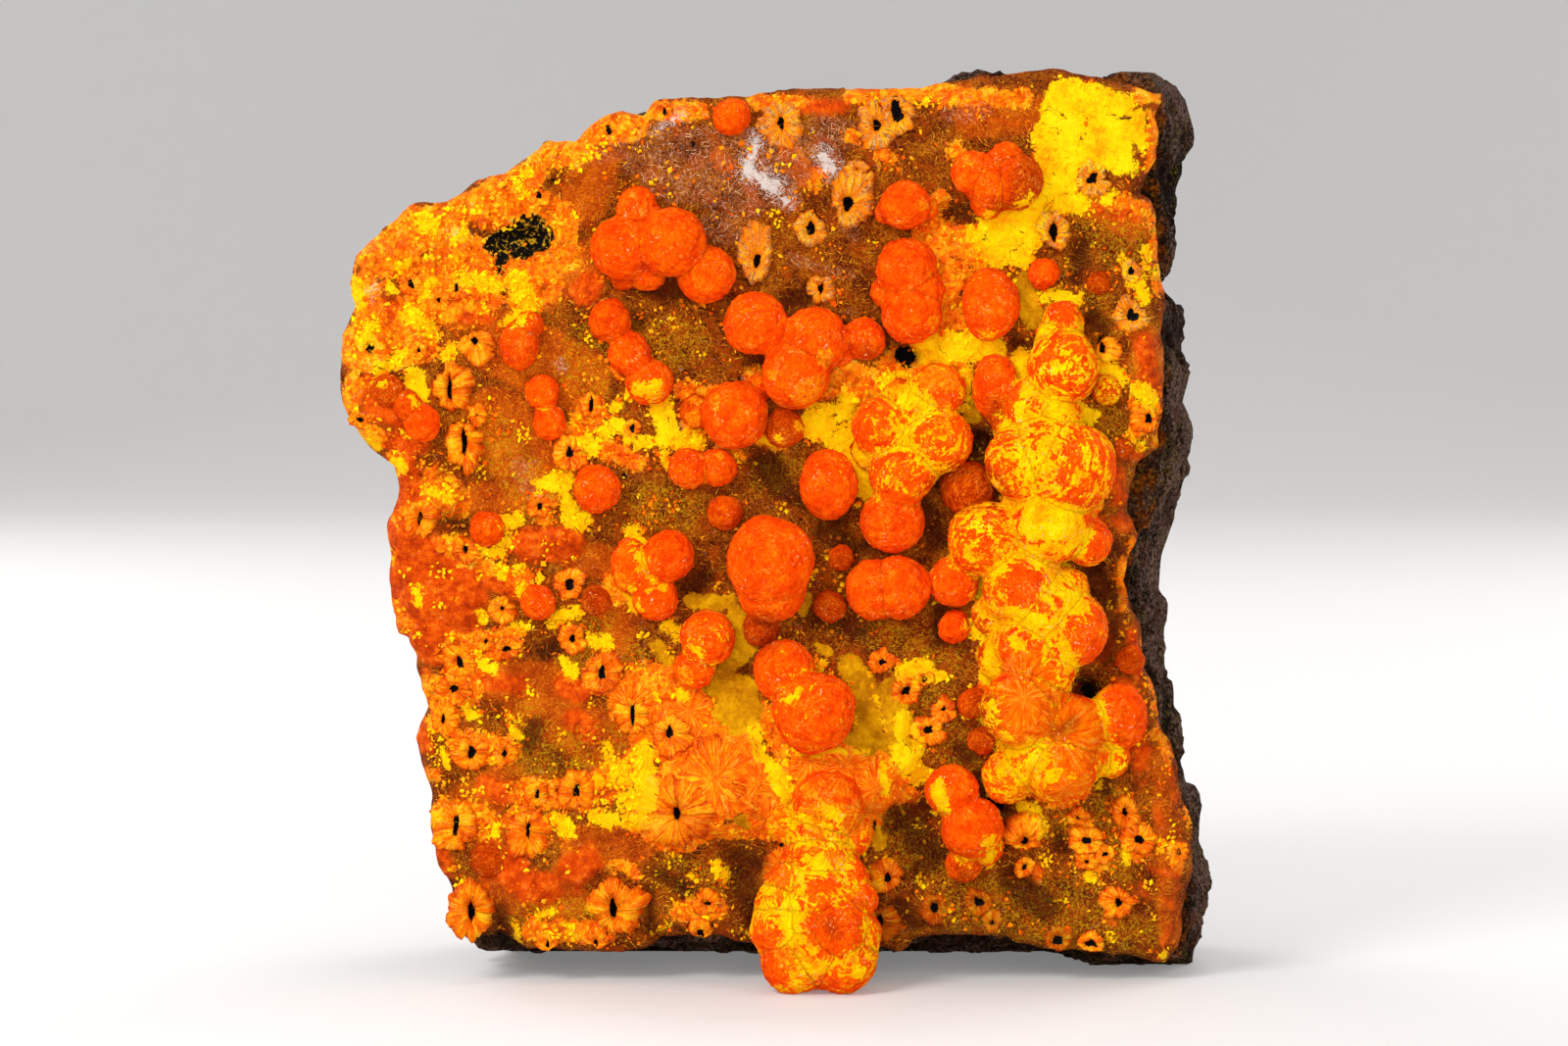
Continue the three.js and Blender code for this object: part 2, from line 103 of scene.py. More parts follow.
# The crust seen from the front, clockwise from its leftmost point: x, height.
CRUST_OUTLINE = [
    (-22.4, 31.9), (-22.25, 33.1), (-21.6, 35.2), (-21.75, 36.3), (-21.55, 37.8), (-20.2, 39.2),
    (-18.75, 40.3), (-16.8, 40.55), (-14.85, 41.65), (-13.9, 41.95), (-12.3, 43.1), (-11.85, 43.55),
    (-10.35, 43.6), (-9.55, 44.55), (-8.05, 45.15), (-6.9, 44.9), (-6.2, 45.6), (-4.95, 45.8),
    (-3.0, 45.8), (-1.5, 45.8), (0.8, 46.2), (3.0, 46.25), (6.3, 46.3), (8.1, 46.6),
    (11.8, 47.1), (13.65, 47.4), (15.6, 47.05), (17.85, 46.45), (19.75, 46.05), (19.15, 44.9),
    (19.25, 42.75), (18.45, 41.0), (19.0, 40.8), (19.2, 38.5), (19.55, 35.85), (19.5, 34.15),
    (19.5, 30.15), (19.3, 28.1), (18.2, 27.2), (17.7, 25.25), (18.25, 23.5), (17.85, 22.15),
    (17.7, 21.2), (18.0, 20.05), (18.8, 16.8), (19.55, 13.95), (20.65, 10.5), (21.15, 8.9),
    (21.15, 6.45), (20.5, 2.4), (19.8, 1.6), (18.65, 1.85), (15.45, 2.2), (12.45, 2.5),
    (11.55, 2.9), (8.55, 2.95), (6.95, 2.85), (6.1, 2.2), (4.9, 2.6), (-1.5, 2.7),
    (-4.45, 2.9), (-6.0, 2.95), (-7.0, 2.2), (-8.25, 2.1), (-12.85, 2.2), (-14.3, 2.9),
    (-16.4, 3.2), (-16.9, 3.9), (-17.0, 5.4), (-17.5, 6.55), (-17.7, 8.95), (-17.85, 10.35),
    (-18.4, 11.9), (-18.7, 13.1), (-18.0, 14.75), (-18.45, 15.65), (-18.5, 17.4), (-18.85, 18.4),
    (-19.4, 18.55), (-20.0, 20.6), (-20.05, 24.3), (-19.5, 25.7), (-19.7, 27.05), (-21.25, 28.3),
    (-21.85, 29.35), (-22.3, 30.4),
]

# Swells and hollows: x, height, half width, half height, how far the crust stands proud there.
SWELLS = [
    (13.8, 28.0, 3.2, 6.5, 1.2), (13.3, 16.0, 3.4, 5.5, 1.1), (1.0, 11.2, 4.6, 3.0, 1.5),
    (-4.6, 10.2, 2.9, 2.7, 0.9), (2.0, 8.0, 2.8, 3.0, 1.1), (2.2, 16.5, 3.0, 3.6, 0.6),
    (6.0, 13.0, 1.7, 2.8, 0.5), (-19.5, 31.0, 3.0, 3.8, 0.6), (-15.0, 8.7, 3.6, 3.6, 0.3),
    (-10.8, 13.9, 2.0, 1.6, 0.6), (-14.7, 15.8, 2.2, 1.4, 0.5), (-13.2, 5.9, 2.1, 1.5, 0.6),
    (-10.0, 6.9, 1.8, 1.4, 0.5), (-16.3, 19.4, 1.8, 1.6, 0.5), (-9.4, 20.1, 1.2, 1.0, 0.5),
    (-10.8, 23.4, 1.2, 0.9, 0.5), (12.0, 41.3, 1.8, 1.6, 0.7), (19.0, 6.5, 2.0, 4.0, 0.3),
    (-0.8, 26.6, 2.4, 1.6, -0.7), (3.2, 23.8, 1.2, 1.6, -0.4), (-11.8, 15.9, 1.3, 0.9, -0.3),
    (15.9, 15.3, 0.9, 1.2, -0.9), (16.4, 21.2, 0.9, 1.2, -0.9), (11.2, 9.4, 0.7, 0.9, -0.9),
    (10.2, 28.1, 0.9, 0.9, -0.9), (6.5, 32.6, 0.7, 0.6, -0.9), (-2.0, 7.3, 2.0, 1.3, -0.6),
    (6.8, 8.0, 1.6, 1.8, -0.5), (-12.8, 38.6, 1.6, 0.9, -0.5), (16.2, 38.2, 1.6, 1.4, -0.4),
    (9.0, 40.1, 1.3, 0.6, -0.4), (3.0, 38.2, 4.5, 2.6, -0.2),
]

# Spherules: x, height, radius, how far the centre stands in front of the crust as a share of the
# radius, and how much taller than wide.
CLUSTERS = {
    "spherules_top_left": [
        (-8.0, 38.25, 1.55, 0.55), (-5.45, 38.55, 1.75, 0.7), (-7.2, 40.3, 1.05, 0.5),
        (-3.7, 36.9, 1.45, 0.45), (-6.75, 39.8, 0.9, 0.6), (-6.7, 36.95, 0.95, 0.3),
        (-7.9, 36.8, 0.7, 0.3),
    ],
    "spherules_upper_left": [
        (-8.6, 34.6, 1.08, 0.5), (-7.6, 32.85, 1.1, 0.5), (-6.6, 31.4, 1.2, 0.3),
    ],
    "spherule_top_edge": [(-2.4, 44.85, 0.95, 0.3)],
    "spherule_upper_centre": [(6.4, 40.4, 1.25, 0.5), (7.4, 40.3, 0.65, 0.3), (5.5, 40.0, 0.6, 0.3)],
    "spherules_upper_right": [
        (9.9, 42.0, 1.15, 0.45), (11.5, 42.7, 0.95, 0.5), (11.9, 41.6, 1.5, 0.1),
        (10.6, 42.0, 1.0, 0.5), (10.6, 40.6, 0.9, 0.15), (11.0, 41.5, 1.3, 0.3),
    ],
    "spherule_column": [
        (6.45, 37.2, 1.5, 0.5), (6.7, 34.9, 1.55, 0.5), (5.4, 36.0, 0.8, 0.35),
        (7.2, 36.1, 1.2, 0.5),
    ],
    "spherules_centre": [
        (-1.2, 34.4, 1.62, 0.6), (1.8, 33.55, 1.7, 0.6), (0.85, 31.85, 1.75, 0.8),
        (4.35, 33.6, 1.1, 0.35), (3.0, 33.0, 0.9, 0.35),
    ],
    "spherules_centre_left": [
        (-2.2, 29.75, 1.7, 0.5), (-4.2, 29.9, 0.85, 0.25), (-1.1, 31.1, 0.7, 0.4),
    ],
    "spherule_low_middle": [(0.25, 29.1, 1.0, 0.15)],
    "spherules_small_pair": [(-4.6, 27.0, 1.0, 0.4), (-3.15, 27.05, 1.0, 0.35)],
    "spherule_oval": [(2.5, 26.2, 1.45, 0.6, 1.25)],
    "spherules_flecked": [
        (5.2, 29.15, 1.5, 0.55), (8.05, 30.9, 1.45, 0.45), (8.1, 28.5, 1.7, 0.65),
        (6.3, 26.75, 1.7, 0.7, 0.85), (5.75, 24.35, 1.65, 0.45), (6.7, 28.4, 1.3, 0.6),
        (7.4, 29.9, 1.3, 0.6), (6.3, 30.3, 1.3, 0.2), (4.7, 27.9, 1.1, -0.1), (7.4, 27.4, 1.2, 0.6),
    ],
    "spherules_centre_right": [(4.9, 20.9, 1.55, 0.55), (6.1, 21.0, 1.65, 0.6)],
    "spherule_above_largest": [(-2.75, 24.75, 0.9, 0.1)],
    "spherule_largest": [(-0.4, 22.4, 2.25, 0.8), (-0.4, 20.95, 1.75, 0.75)],
    "spherules_left_centre": [
        (-5.6, 22.6, 1.3, 0.55), (-7.6, 22.1, 1.0, 0.35, 1.4), (-6.3, 20.4, 1.15, 0.4),
    ],
    "spherule_low_centre": [(2.6, 20.0, 0.85, 0.1)],
    "spherules_lower_left": [(-3.6, 18.4, 1.4, 0.5), (-4.3, 16.8, 1.05, 0.45)],
    "spherules_lower_centre": [(0.3, 16.8, 1.6, 0.7), (1.8, 14.75, 2.1, 0.8)],
    "spherule_right_upper": [(10.7, 35.4, 1.5, 0.55, 1.22)],
    "spherule_below_rosette": [(13.45, 36.95, 0.8, 0.35)],
    "spherule_mass_right": [
        (14.4, 34.5, 1.1, 0.6), (14.35, 32.2, 1.75, 0.6, 1.15), (11.0, 31.1, 1.2, 0.35, 1.45),
        (12.9, 30.2, 1.5, 0.3), (14.9, 27.2, 2.2, 0.7), (12.3, 27.4, 1.85, 0.6),
        (13.8, 24.3, 1.95, 0.45), (15.6, 23.4, 1.3, 0.5), (10.4, 23.5, 1.85, 0.7),
        (8.9, 21.3, 1.3, 0.45), (12.3, 21.0, 1.9, 0.6), (14.8, 18.9, 1.85, 0.55),
        (12.6, 18.0, 1.6, 0.5), (12.2, 14.9, 1.95, 0.6), (14.9, 13.9, 1.7, 0.5),
        (14.3, 11.9, 1.9, 0.6), (11.7, 11.3, 1.35, 0.5), (17.3, 14.4, 1.45, 0.5, 1.15),
        (16.9, 12.2, 1.0, 0.35), (14.3, 25.3, 0.8, 0.75), (15.7, 25.5, 0.85, 0.75),
        (16.6, 31.0, 0.75, 0.3), (13.6, 16.6, 1.4, 0.6), (14.5, 20.9, 1.2, 0.4),
        (10.9, 19.6, 1.1, 0.3), (11.3, 17.4, 1.2, 0.2), (14.0, 29.6, 1.4, 0.4),
        (13.6, 12.9, 1.3, 0.75), (16.1, 13.2, 1.0, 0.5), (13.0, 22.6, 1.3, 0.5),
        (13.5, 27.9, 1.9, 0.55), (13.6, 20.0, 1.8, 0.55), (12.3, 25.6, 1.0, 0.4), (11.9, 29.2, 1.1, 0.1),
        (14.2, 33.6, 1.2, 0.5), (13.2, 12.4, 1.6, 0.5), (15.6, 12.4, 1.3, 0.5), (13.2, 15.9, 1.5, 0.55),
    ],
    "spherule_beside_mass": [(8.9, 18.9, 0.85, 0.35)],
    "spherules_lower_right": [
        (8.8, 10.6, 1.35, 0.6), (9.8, 8.7, 1.6, 0.65), (9.4, 6.8, 0.95, 0.55),
        (10.5, 7.7, 0.95, 0.7),
    ],
    "spherule_left_upper": [(-13.2, 33.3, 1.0, 0.35, 1.3), (-12.7, 34.3, 0.75, 0.4)],
    "spherules_left_pair": [(-12.05, 30.9, 0.88, 0.35), (-11.7, 29.4, 0.85, 0.3, 1.15)],
    "spherule_left_middle": [(-9.3, 26.0, 1.2, 0.5)],
    "spherule_left_edge": [(-18.1, 29.4, 0.95, 0.35), (-18.9, 30.3, 0.75, 0.3)],
    "spherules_left_small": [(-14.9, 23.9, 0.9, 0.25)],
    "spherule_left_low": [(-12.3, 20.2, 0.9, 0.3)],
}

# Share of yellow coating on a cluster's spherules, where it isn't nearly bare.
COATING = {
    "spherules_upper_right": -0.1, "spherules_centre": 0.05,
    "spherules_flecked": 0.4, "spherule_mass_right": 0.47, "spherules_lower_right": 0.26,
    "spherules_left_centre": 0.16, "spherules_lower_left": 0.28, "spherules_small_pair": 0.2,
    "spherules_lower_centre": 0.2, "spherule_column": 0.12, "spherules_left_pair": 0.16,
    "spherules_left_small": 0.24, "spherule_left_low": 0.2, "spherule_right_upper": 0.2,
    "lobe_front": 0.4,
}
BARE_COATING = 0.08
SMALL_COATING = 0.14

# The lobe in front of the lower edge: x, y, height over the floor, radius.
LOBE = [
    (0.85, -3.6, 1.7, 1.85), (3.1, -3.7, 1.75, 1.85), (0.35, -3.4, 3.3, 1.85), (2.85, -4.5, 3.3, 1.5),
    (0.75, -3.0, 5.2, 1.6), (3.2, -3.0, 5.6, 1.4), (2.4, -2.4, 9.4, 1.8), (4.05, -3.6, 4.8, 0.95),
    (0.3, -2.0, 8.4, 1.0), (3.6, -1.9, 7.9, 1.2), (1.9, -3.6, 2.4, 2.1), (1.9, -3.3, 4.6, 2.0),
    (2.0, -2.9, 6.6, 1.6), (0.4, -3.2, 4.3, 1.7), (3.5, -3.4, 2.8, 1.65), (1.2, -2.7, 6.3, 1.35),
    (2.0, -2.5, 7.9, 1.5), (1.9, -3.4, 3.4, 2.1),
]

# Low spherules too small for the CAD, as in CLUSTERS.
SMALL_SPHERULES = [
    (3.2, 22.4, 0.65, 0.1), (-0.9, 18.9, 0.95, 0.1), (-19.9, 31.0, 0.85, 0.1),
    (9.6, 26.0, 1.4, 0.1), (17.9, 17.2, 0.75, 0.1), (16.3, 36.4, 0.6, 0.05),
    (-14.9, 6.9, 0.9, -0.25), (4.1, 28.0, 0.4, 0.2), (10.0, 15.0, 0.8, 0.1),
    (10.3, 13.1, 0.7, 0.05), (-9.3, 20.2, 0.75, -0.1), (17.5, 28.0, 0.6, 0.0),
]
# Mounds of the crust, too soft for the CAD: x, height, radius, how far they stand proud.
MOUNDS = [
    (-9.8, 36.2, 1.25, 0.5), (-19.8, 35.2, 1.1, 0.4), (-20.4, 29.6, 1.3, 0.5), (-17.1, 25.9, 1.2, 0.8),
    (-12.8, 23.2, 1.1, 0.6), (-10.8, 23.5, 1.1, 0.6), (-18.2, 20.4, 1.2, 0.5), (-16.4, 20.1, 1.2, 0.6),
    (-14.8, 20.7, 0.9, 0.4), (-17.6, 22.9, 1.1, 0.4), (-9.7, 13.7, 1.1, 0.45), (-10.5, 15.7, 1.1, 0.5),
    (-14.4, 10.5, 1.2, 0.4), (-12.6, 5.7, 1.5, 0.6), (-10.2, 6.8, 1.3, 0.5), (-14.2, 15.9, 1.3, 0.5),
    (2.4, 45.4, 1.5, 0.45), (18.5, 32.6, 1.1, 0.35), (19.4, 9.2, 0.9, 0.3), (19.5, 6.3, 1.2, 0.4),
    (3.0, 11.0, 2.2, 0.9), (5.0, 10.6, 1.2, 0.6), (-2.2, 12.2, 1.5, 0.6), (-0.6, 10.2, 1.2, 0.6),
    (6.2, 12.0, 1.3, 0.6), (5.7, 14.4, 1.4, 0.5), (-3.4, 10.6, 2.4, 0.8), (8.9, 3.8, 0.9, 0.45),
    (11.2, 3.6, 0.8, 0.4), (14.2, 6.5, 0.8, 0.35), (-16.2, 34.6, 1.1, 0.4), (-18.2, 38.4, 1.3, 0.4),
    (-20.4, 37.6, 1.0, 0.4), (-14.2, 40.9, 1.3, 0.4), (-10.9, 42.8, 1.3, 0.4), (-8.0, 44.2, 1.2, 0.4),
    (-5.0, 44.8, 1.2, 0.5), (-13.4, 36.3, 1.2, 0.5), (-15.3, 36.7, 1.0, 0.4), (-18.6, 34.4, 1.0, 0.5),
    (-20.8, 32.8, 1.1, 0.4), (-18.9, 32.4, 0.9, 0.5), (-19.2, 26.9, 0.9, 0.4), (-19.3, 23.4, 1.0, 0.4),
    (-18.3, 17.6, 1.2, 0.4), (-17.5, 6.9, 1.0, 0.4), (-17.7, 11.4, 0.9, 0.4), (-11.8, 3.6, 1.2, 0.4),
    (8.6, 38.2, 1.4, 0.4), (8.6, 36.2, 1.0, 0.4), (3.9, 31.4, 1.5, 0.6), (9.6, 33.3, 1.6, 0.5),
    (2.7, 29.4, 1.3, 0.3), (-5.0, 29.6, 1.0, 0.4), (3.6, 43.8, 0.35, 0.35), (5.4, 42.8, 0.45, 0.4),
    (1.9, 41.7, 0.4, 0.35), (-7.4, 11.4, 1.4, 0.4), (-7.4, 9.4, 1.2, 0.3),
]

# Fans of fibres, on the crust and on spherules: x and height of the centre, radius.
FANS = [
    (-3.2, 11.4, 2.3), (-5.3, 9.4, 2.1), (12.3, 15.7, 2.2), (14.3, 13.7, 2.5), (2.5, 8.1, 1.5),
    (-4.6, 14.6, 1.3), (-2.0, 13.3, 1.2), (-0.6, 9.3, 1.3), (4.9, 10.9, 1.4), (0.2, 6.6, 1.1),
    (12.0, 11.2, 1.3), (14.6, 11.0, 1.4), (-6.2, 13.4, 1.5), (-7.6, 14.9, 1.2), (-9.0, 16.4, 1.1),
    (-4.4, 12.6, 1.3), (-1.0, 11.2, 1.3), (1.6, 12.2, 1.2), (3.4, 12.0, 1.4), (4.4, 9.6, 1.2),
]
# Spherules in the shade, duller than the rest by painted shade: strokes of x, height, x, height, half
# width.
DIM = [
    (9.0, 26.0, 10.2, 26.0, 1.3), (2.6, 20.0, 2.6, 20.0, 0.9), (0.25, 29.1, 0.25, 29.1, 1.0),
    (12.6, 42.3, 12.2, 40.7, 0.85), (10.0, 15.0, 10.2, 13.2, 0.8), (17.4, 14.9, 17.4, 13.4, 0.0),
    (14.2, 13.9, 14.8, 14.3, 0.2), (2.5, 4.4, 2.8, 3.9, 0.4), (4.2, 5.3, 4.2, 5.3, 0.2),
    (11.0, 40.5, 11.8, 40.3, 0.4), (3.2, 22.4, 3.2, 22.4, 0.7), (-0.9, 18.9, -0.9, 18.9, 1.0),
    (17.9, 17.2, 17.9, 17.2, 0.8), (-14.9, 6.9, -14.9, 6.9, 0.9), (9.4, 6.6, 9.4, 6.4, 0.6),
    (4.3, 33.2, 4.5, 32.8, 0.4), (11.1, 29.6, 10.9, 30.4, 0.5),
]

# Rosettes of blades round a hollow core: x, height, half width, half height, thickness, then the
# core's offset (x, height) and half width and half height.
ROSETTES = {
    "rosette_top_twin": (6.05, 44.85, 1.1, 1.05, 0.5, -0.05, 0.35, 0.27, 0.45),
    "rosette_upper_centre": (3.7, 40.7, 1.2, 1.5, 0.75, -0.22, -0.25, 0.24, 0.32),
    "rosette_elongated": (-1.15, 38.05, 0.95, 1.75, 0.7, 0.05, -0.55, 0.14, 0.3),
    "rosette_right_of_yellow": (13.85, 39.1, 1.0, 1.1, 0.7, 0.0, -0.1, 0.18, 0.42),
    "rosette_left_upper": (-16.7, 31.2, 1.15, 1.3, 0.75, -0.05, -0.1, 0.08, 0.6),
    "rosette_left_middle": (-16.0, 28.3, 1.1, 1.4, 0.8, 0.0, 0.2, 0.09, 0.65),
    "rosette_foot_left": (-15.7, 4.3, 1.2, 1.5, 1.1, -0.03, 0.1, 0.14, 0.45),
    "rosette_foot_large": (-8.4, 4.55, 1.45, 1.7, 1.0, -0.1, -0.15, 0.13, 0.42),
    "rosette_tube": (12.45, 8.4, 1.2, 1.1, 0.9, 0.1, -0.5, 0.13, 0.18),
}
# A rosette grown together with one of those, and the rosettes too small for the CAD.
TWINS = {"rosette_top_twin": [(4.95, 44.4, 1.1, 1.2, 0.5, 0.05, 0.05, 0.16, 0.22)]}
SMALL_ROSETTES = [
    (0.05, 44.55, 1.15, 1.15, 0.4, 0.05, 0.0, 0.13, 0.3),
    (1.65, 39.15, 0.95, 1.0, 0.55, -0.05, 0.05, 0.2, 0.35),
    (2.15, 36.1, 0.9, 0.85, 0.45, -0.05, 0.0, 0.13, 0.24),
    (3.95, 42.2, 0.7, 0.55, 0.5, 0.0, 0.0, 0.02, 0.02),
    (4.4, 41.6, 0.5, 0.6, 0.45, 0.0, 0.0, 0.02, 0.02),
    (-15.4, 33.2, 0.85, 0.95, 0.5, -0.1, 0.35, 0.13, 0.15),
    (-20.75, 33.1, 0.8, 0.8, 0.35, 0.0, 0.0, 0.17, 0.25),
    (-18.3, 33.05, 0.5, 0.5, 0.25, 0.0, 0.0, 0.08, 0.1),
    (-18.7, 36.35, 0.75, 0.75, 0.3, 0.0, 0.0, 0.14, 0.2),
    (-16.4, 36.2, 0.7, 0.6, 0.25, 0.0, 0.0, 0.12, 0.22),
    (-17.3, 35.6, 0.75, 0.7, 0.25, 0.0, 0.0, 0.12, 0.12),
    (-12.2, 40.9, 0.6, 0.55, 0.2, 0.0, 0.0, 0.13, 0.15),
    (-13.9, 41.2, 0.5, 0.5, 0.2, 0.0, 0.0, 0.07, 0.13),
    (-8.65, 44.2, 0.6, 0.6, 0.25, 0.0, 0.0, 0.14, 0.25),
    (-5.8, 45.1, 0.5, 0.45, 0.2, 0.0, 0.0, 0.1, 0.2),
    (-14.05, 35.9, 0.55, 0.55, 0.2, 0.0, 0.0, 0.06, 0.16),
    (-21.3, 29.5, 0.6, 0.5, 0.25, 0.0, 0.0, 0.22, 0.12),
    (-15.35, 29.7, 0.55, 0.6, 0.4, 0.0, 0.0, 0.02, 0.02),
    (-18.1, 24.4, 0.95, 1.1, 0.5, -0.2, 0.1, 0.1, 0.35),
    (-10.65, 27.85, 0.85, 0.95, 0.4, 0.0, 0.0, 0.13, 0.24),
    (-9.55, 30.3, 0.6, 0.75, 0.3, 0.0, 0.0, 0.1, 0.4),
    (-7.45, 29.05, 0.6, 0.6, 0.3, 0.0, 0.0, 0.15, 0.22),
    (-8.0, 32.1, 0.7, 0.9, 0.35, 0.05, 0.0, 0.08, 0.5),
    (-12.2, 25.05, 0.75, 0.65, 0.25, 0.0, 0.0, 0.1, 0.16),
    (-16.0, 22.85, 0.85, 0.75, 0.3, 0.0, 0.0, 0.09, 0.22),
    (-10.75, 21.1, 0.85, 0.8, 0.3, 0.05, 0.0, 0.22, 0.26),
    (-14.1, 19.85, 0.85, 0.8, 0.35, 0.0, 0.0, 0.12, 0.13),
    (-14.95, 18.2, 0.6, 0.55, 0.3, 0.0, 0.0, 0.1, 0.13),
    (-13.9, 17.8, 0.8, 0.7, 0.35, 0.0, 0.0, 0.2, 0.13),
    (-16.25, 17.1, 0.85, 0.85, 0.35, 0.0, 0.0, 0.14, 0.3),
    (-16.6, 15.75, 0.95, 0.8, 0.35, 0.0, 0.0, 0.2, 0.2),
    (-10.55, 18.3, 0.85, 0.9, 0.4, 0.0, 0.0, 0.14, 0.2),
    (-9.05, 16.6, 1.1, 1.05, 0.45, 0.0, 0.0, 0.14, 0.32),
    (-7.5, 14.5, 1.0, 1.1, 0.4, 0.0, 0.0, 0.08, 0.5), (-5.6, 13.5, 1.2, 1.2, 0.4, 0.0, 0.0, 0.16, 0.3),
    (-17.15, 14.2, 0.85, 0.9, 0.4, 0.0, 0.0, 0.1, 0.22),
    (-17.4, 15.0, 0.5, 0.5, 0.25, 0.0, 0.0, 0.05, 0.08),
    (-15.7, 12.5, 0.9, 0.85, 0.4, 0.0, 0.0, 0.16, 0.32),
    (-14.05, 12.4, 0.7, 0.7, 0.35, 0.0, 0.0, 0.12, 0.22),
    (-12.35, 10.35, 0.75, 0.7, 0.3, 0.0, 0.0, 0.1, 0.24),
    (-11.3, 10.55, 0.55, 0.55, 0.25, 0.0, 0.0, 0.1, 0.15),
    (-10.35, 10.5, 0.95, 1.05, 0.4, 0.0, 0.0, 0.13, 0.26),
    (-16.5, 8.75, 1.3, 1.2, 0.45, 0.0, 0.0, 0.12, 0.42),
    (-12.9, 8.3, 1.15, 1.2, 0.5, 0.05, 0.25, 0.08, 0.36),
    (-5.1, 9.6, 2.3, 2.3, 0.6, -0.1, -0.15, 0.13, 0.36),
    (-3.2, 11.3, 1.9, 2.0, 0.5, 0.0, 0.0, 0.03, 0.03),
    (-3.7, 4.7, 0.75, 0.7, 0.3, 0.0, 0.0, 0.17, 0.12),
    (-4.05, 3.5, 0.8, 0.6, 0.3, 0.0, -0.35, 0.2, 0.2),
    (-9.35, 3.0, 0.75, 0.7, 0.3, 0.0, -0.35, 0.1, 0.2),
    (-11.85, 2.95, 0.7, 0.7, 0.3, 0.0, -0.35, 0.07, 0.15),
    (-8.85, 3.1, 0.45, 0.4, 0.2, 0.0, 0.0, 0.12, 0.1),
    (15.9, 41.7, 0.95, 0.95, 0.35, 0.0, 0.0, 0.28, 0.28),
    (17.95, 34.75, 0.9, 0.9, 0.35, 0.0, 0.0, 0.25, 0.3),
    (16.75, 33.1, 0.75, 0.8, 0.4, -0.35, 0.1, 0.14, 0.36),
    (18.5, 29.6, 0.75, 0.75, 0.3, 0.3, 0.0, 0.15, 0.25),
    (17.9, 37.0, 0.55, 0.6, 0.25, 0.0, 0.0, 0.12, 0.22),
    (5.5, 6.15, 0.9, 0.9, 0.35, 0.05, -0.1, 0.16, 0.2),
    (5.2, 3.75, 0.95, 0.95, 0.5, -0.1, 0.0, 0.16, 0.42),
    (7.9, 4.45, 0.8, 0.85, 0.4, 0.05, 0.0, 0.22, 0.26),
    (10.2, 4.8, 0.8, 0.75, 0.35, 0.0, 0.0, 0.25, 0.2),
    (10.9, 3.7, 0.55, 0.65, 0.3, 0.0, 0.0, 0.08, 0.08),
    (12.55, 6.55, 0.65, 0.65, 0.2, 0.0, 0.0, 0.12, 0.13),
    (17.7, 9.4, 0.85, 1.1, 0.45, 0.0, 0.0, 0.14, 0.22),
    (18.4, 8.0, 0.9, 0.85, 0.4, 0.0, 0.0, 0.18, 0.18),
    (15.75, 7.95, 0.8, 0.75, 0.35, 0.0, 0.0, 0.19, 0.15),
    (16.65, 7.25, 0.55, 0.5, 0.25, 0.0, 0.0, 0.13, 0.1),
    (15.75, 6.85, 0.6, 0.5, 0.25, 0.0, 0.0, 0.1, 0.08),
    (20.45, 7.35, 0.5, 0.55, 0.2, 0.0, 0.0, 0.09, 0.16),
    (15.25, 9.1, 0.6, 0.5, 0.3, 0.0, 0.0, 0.08, 0.08),
    (17.4, 4.7, 0.95, 0.95, 0.45, 0.0, 0.05, 0.13, 0.24),
    (14.25, 2.9, 0.85, 0.75, 0.35, 0.0, -0.1, 0.28, 0.22),
    (16.0, 2.75, 0.7, 0.55, 0.3, 0.0, -0.1, 0.25, 0.17),
    (5.3, 17.1, 0.75, 0.75, 0.3, 0.0, 0.0, 0.15, 0.18),
    (6.5, 15.65, 0.8, 0.8, 0.35, -0.05, 0.0, 0.2, 0.2),
    (7.6, 13.65, 0.85, 0.85, 0.3, 0.0, 0.0, 0.18, 0.18),
    (8.4, 14.7, 0.7, 0.7, 0.25, 0.0, 0.0, 0.1, 0.09),
    (7.4, 16.4, 0.6, 0.5, 0.2, 0.0, -0.15, 0.13, 0.13),
    (14.9, 14.3, 1.1, 0.9, 0.5, 0.0, -0.2, 0.2, 0.15),
]

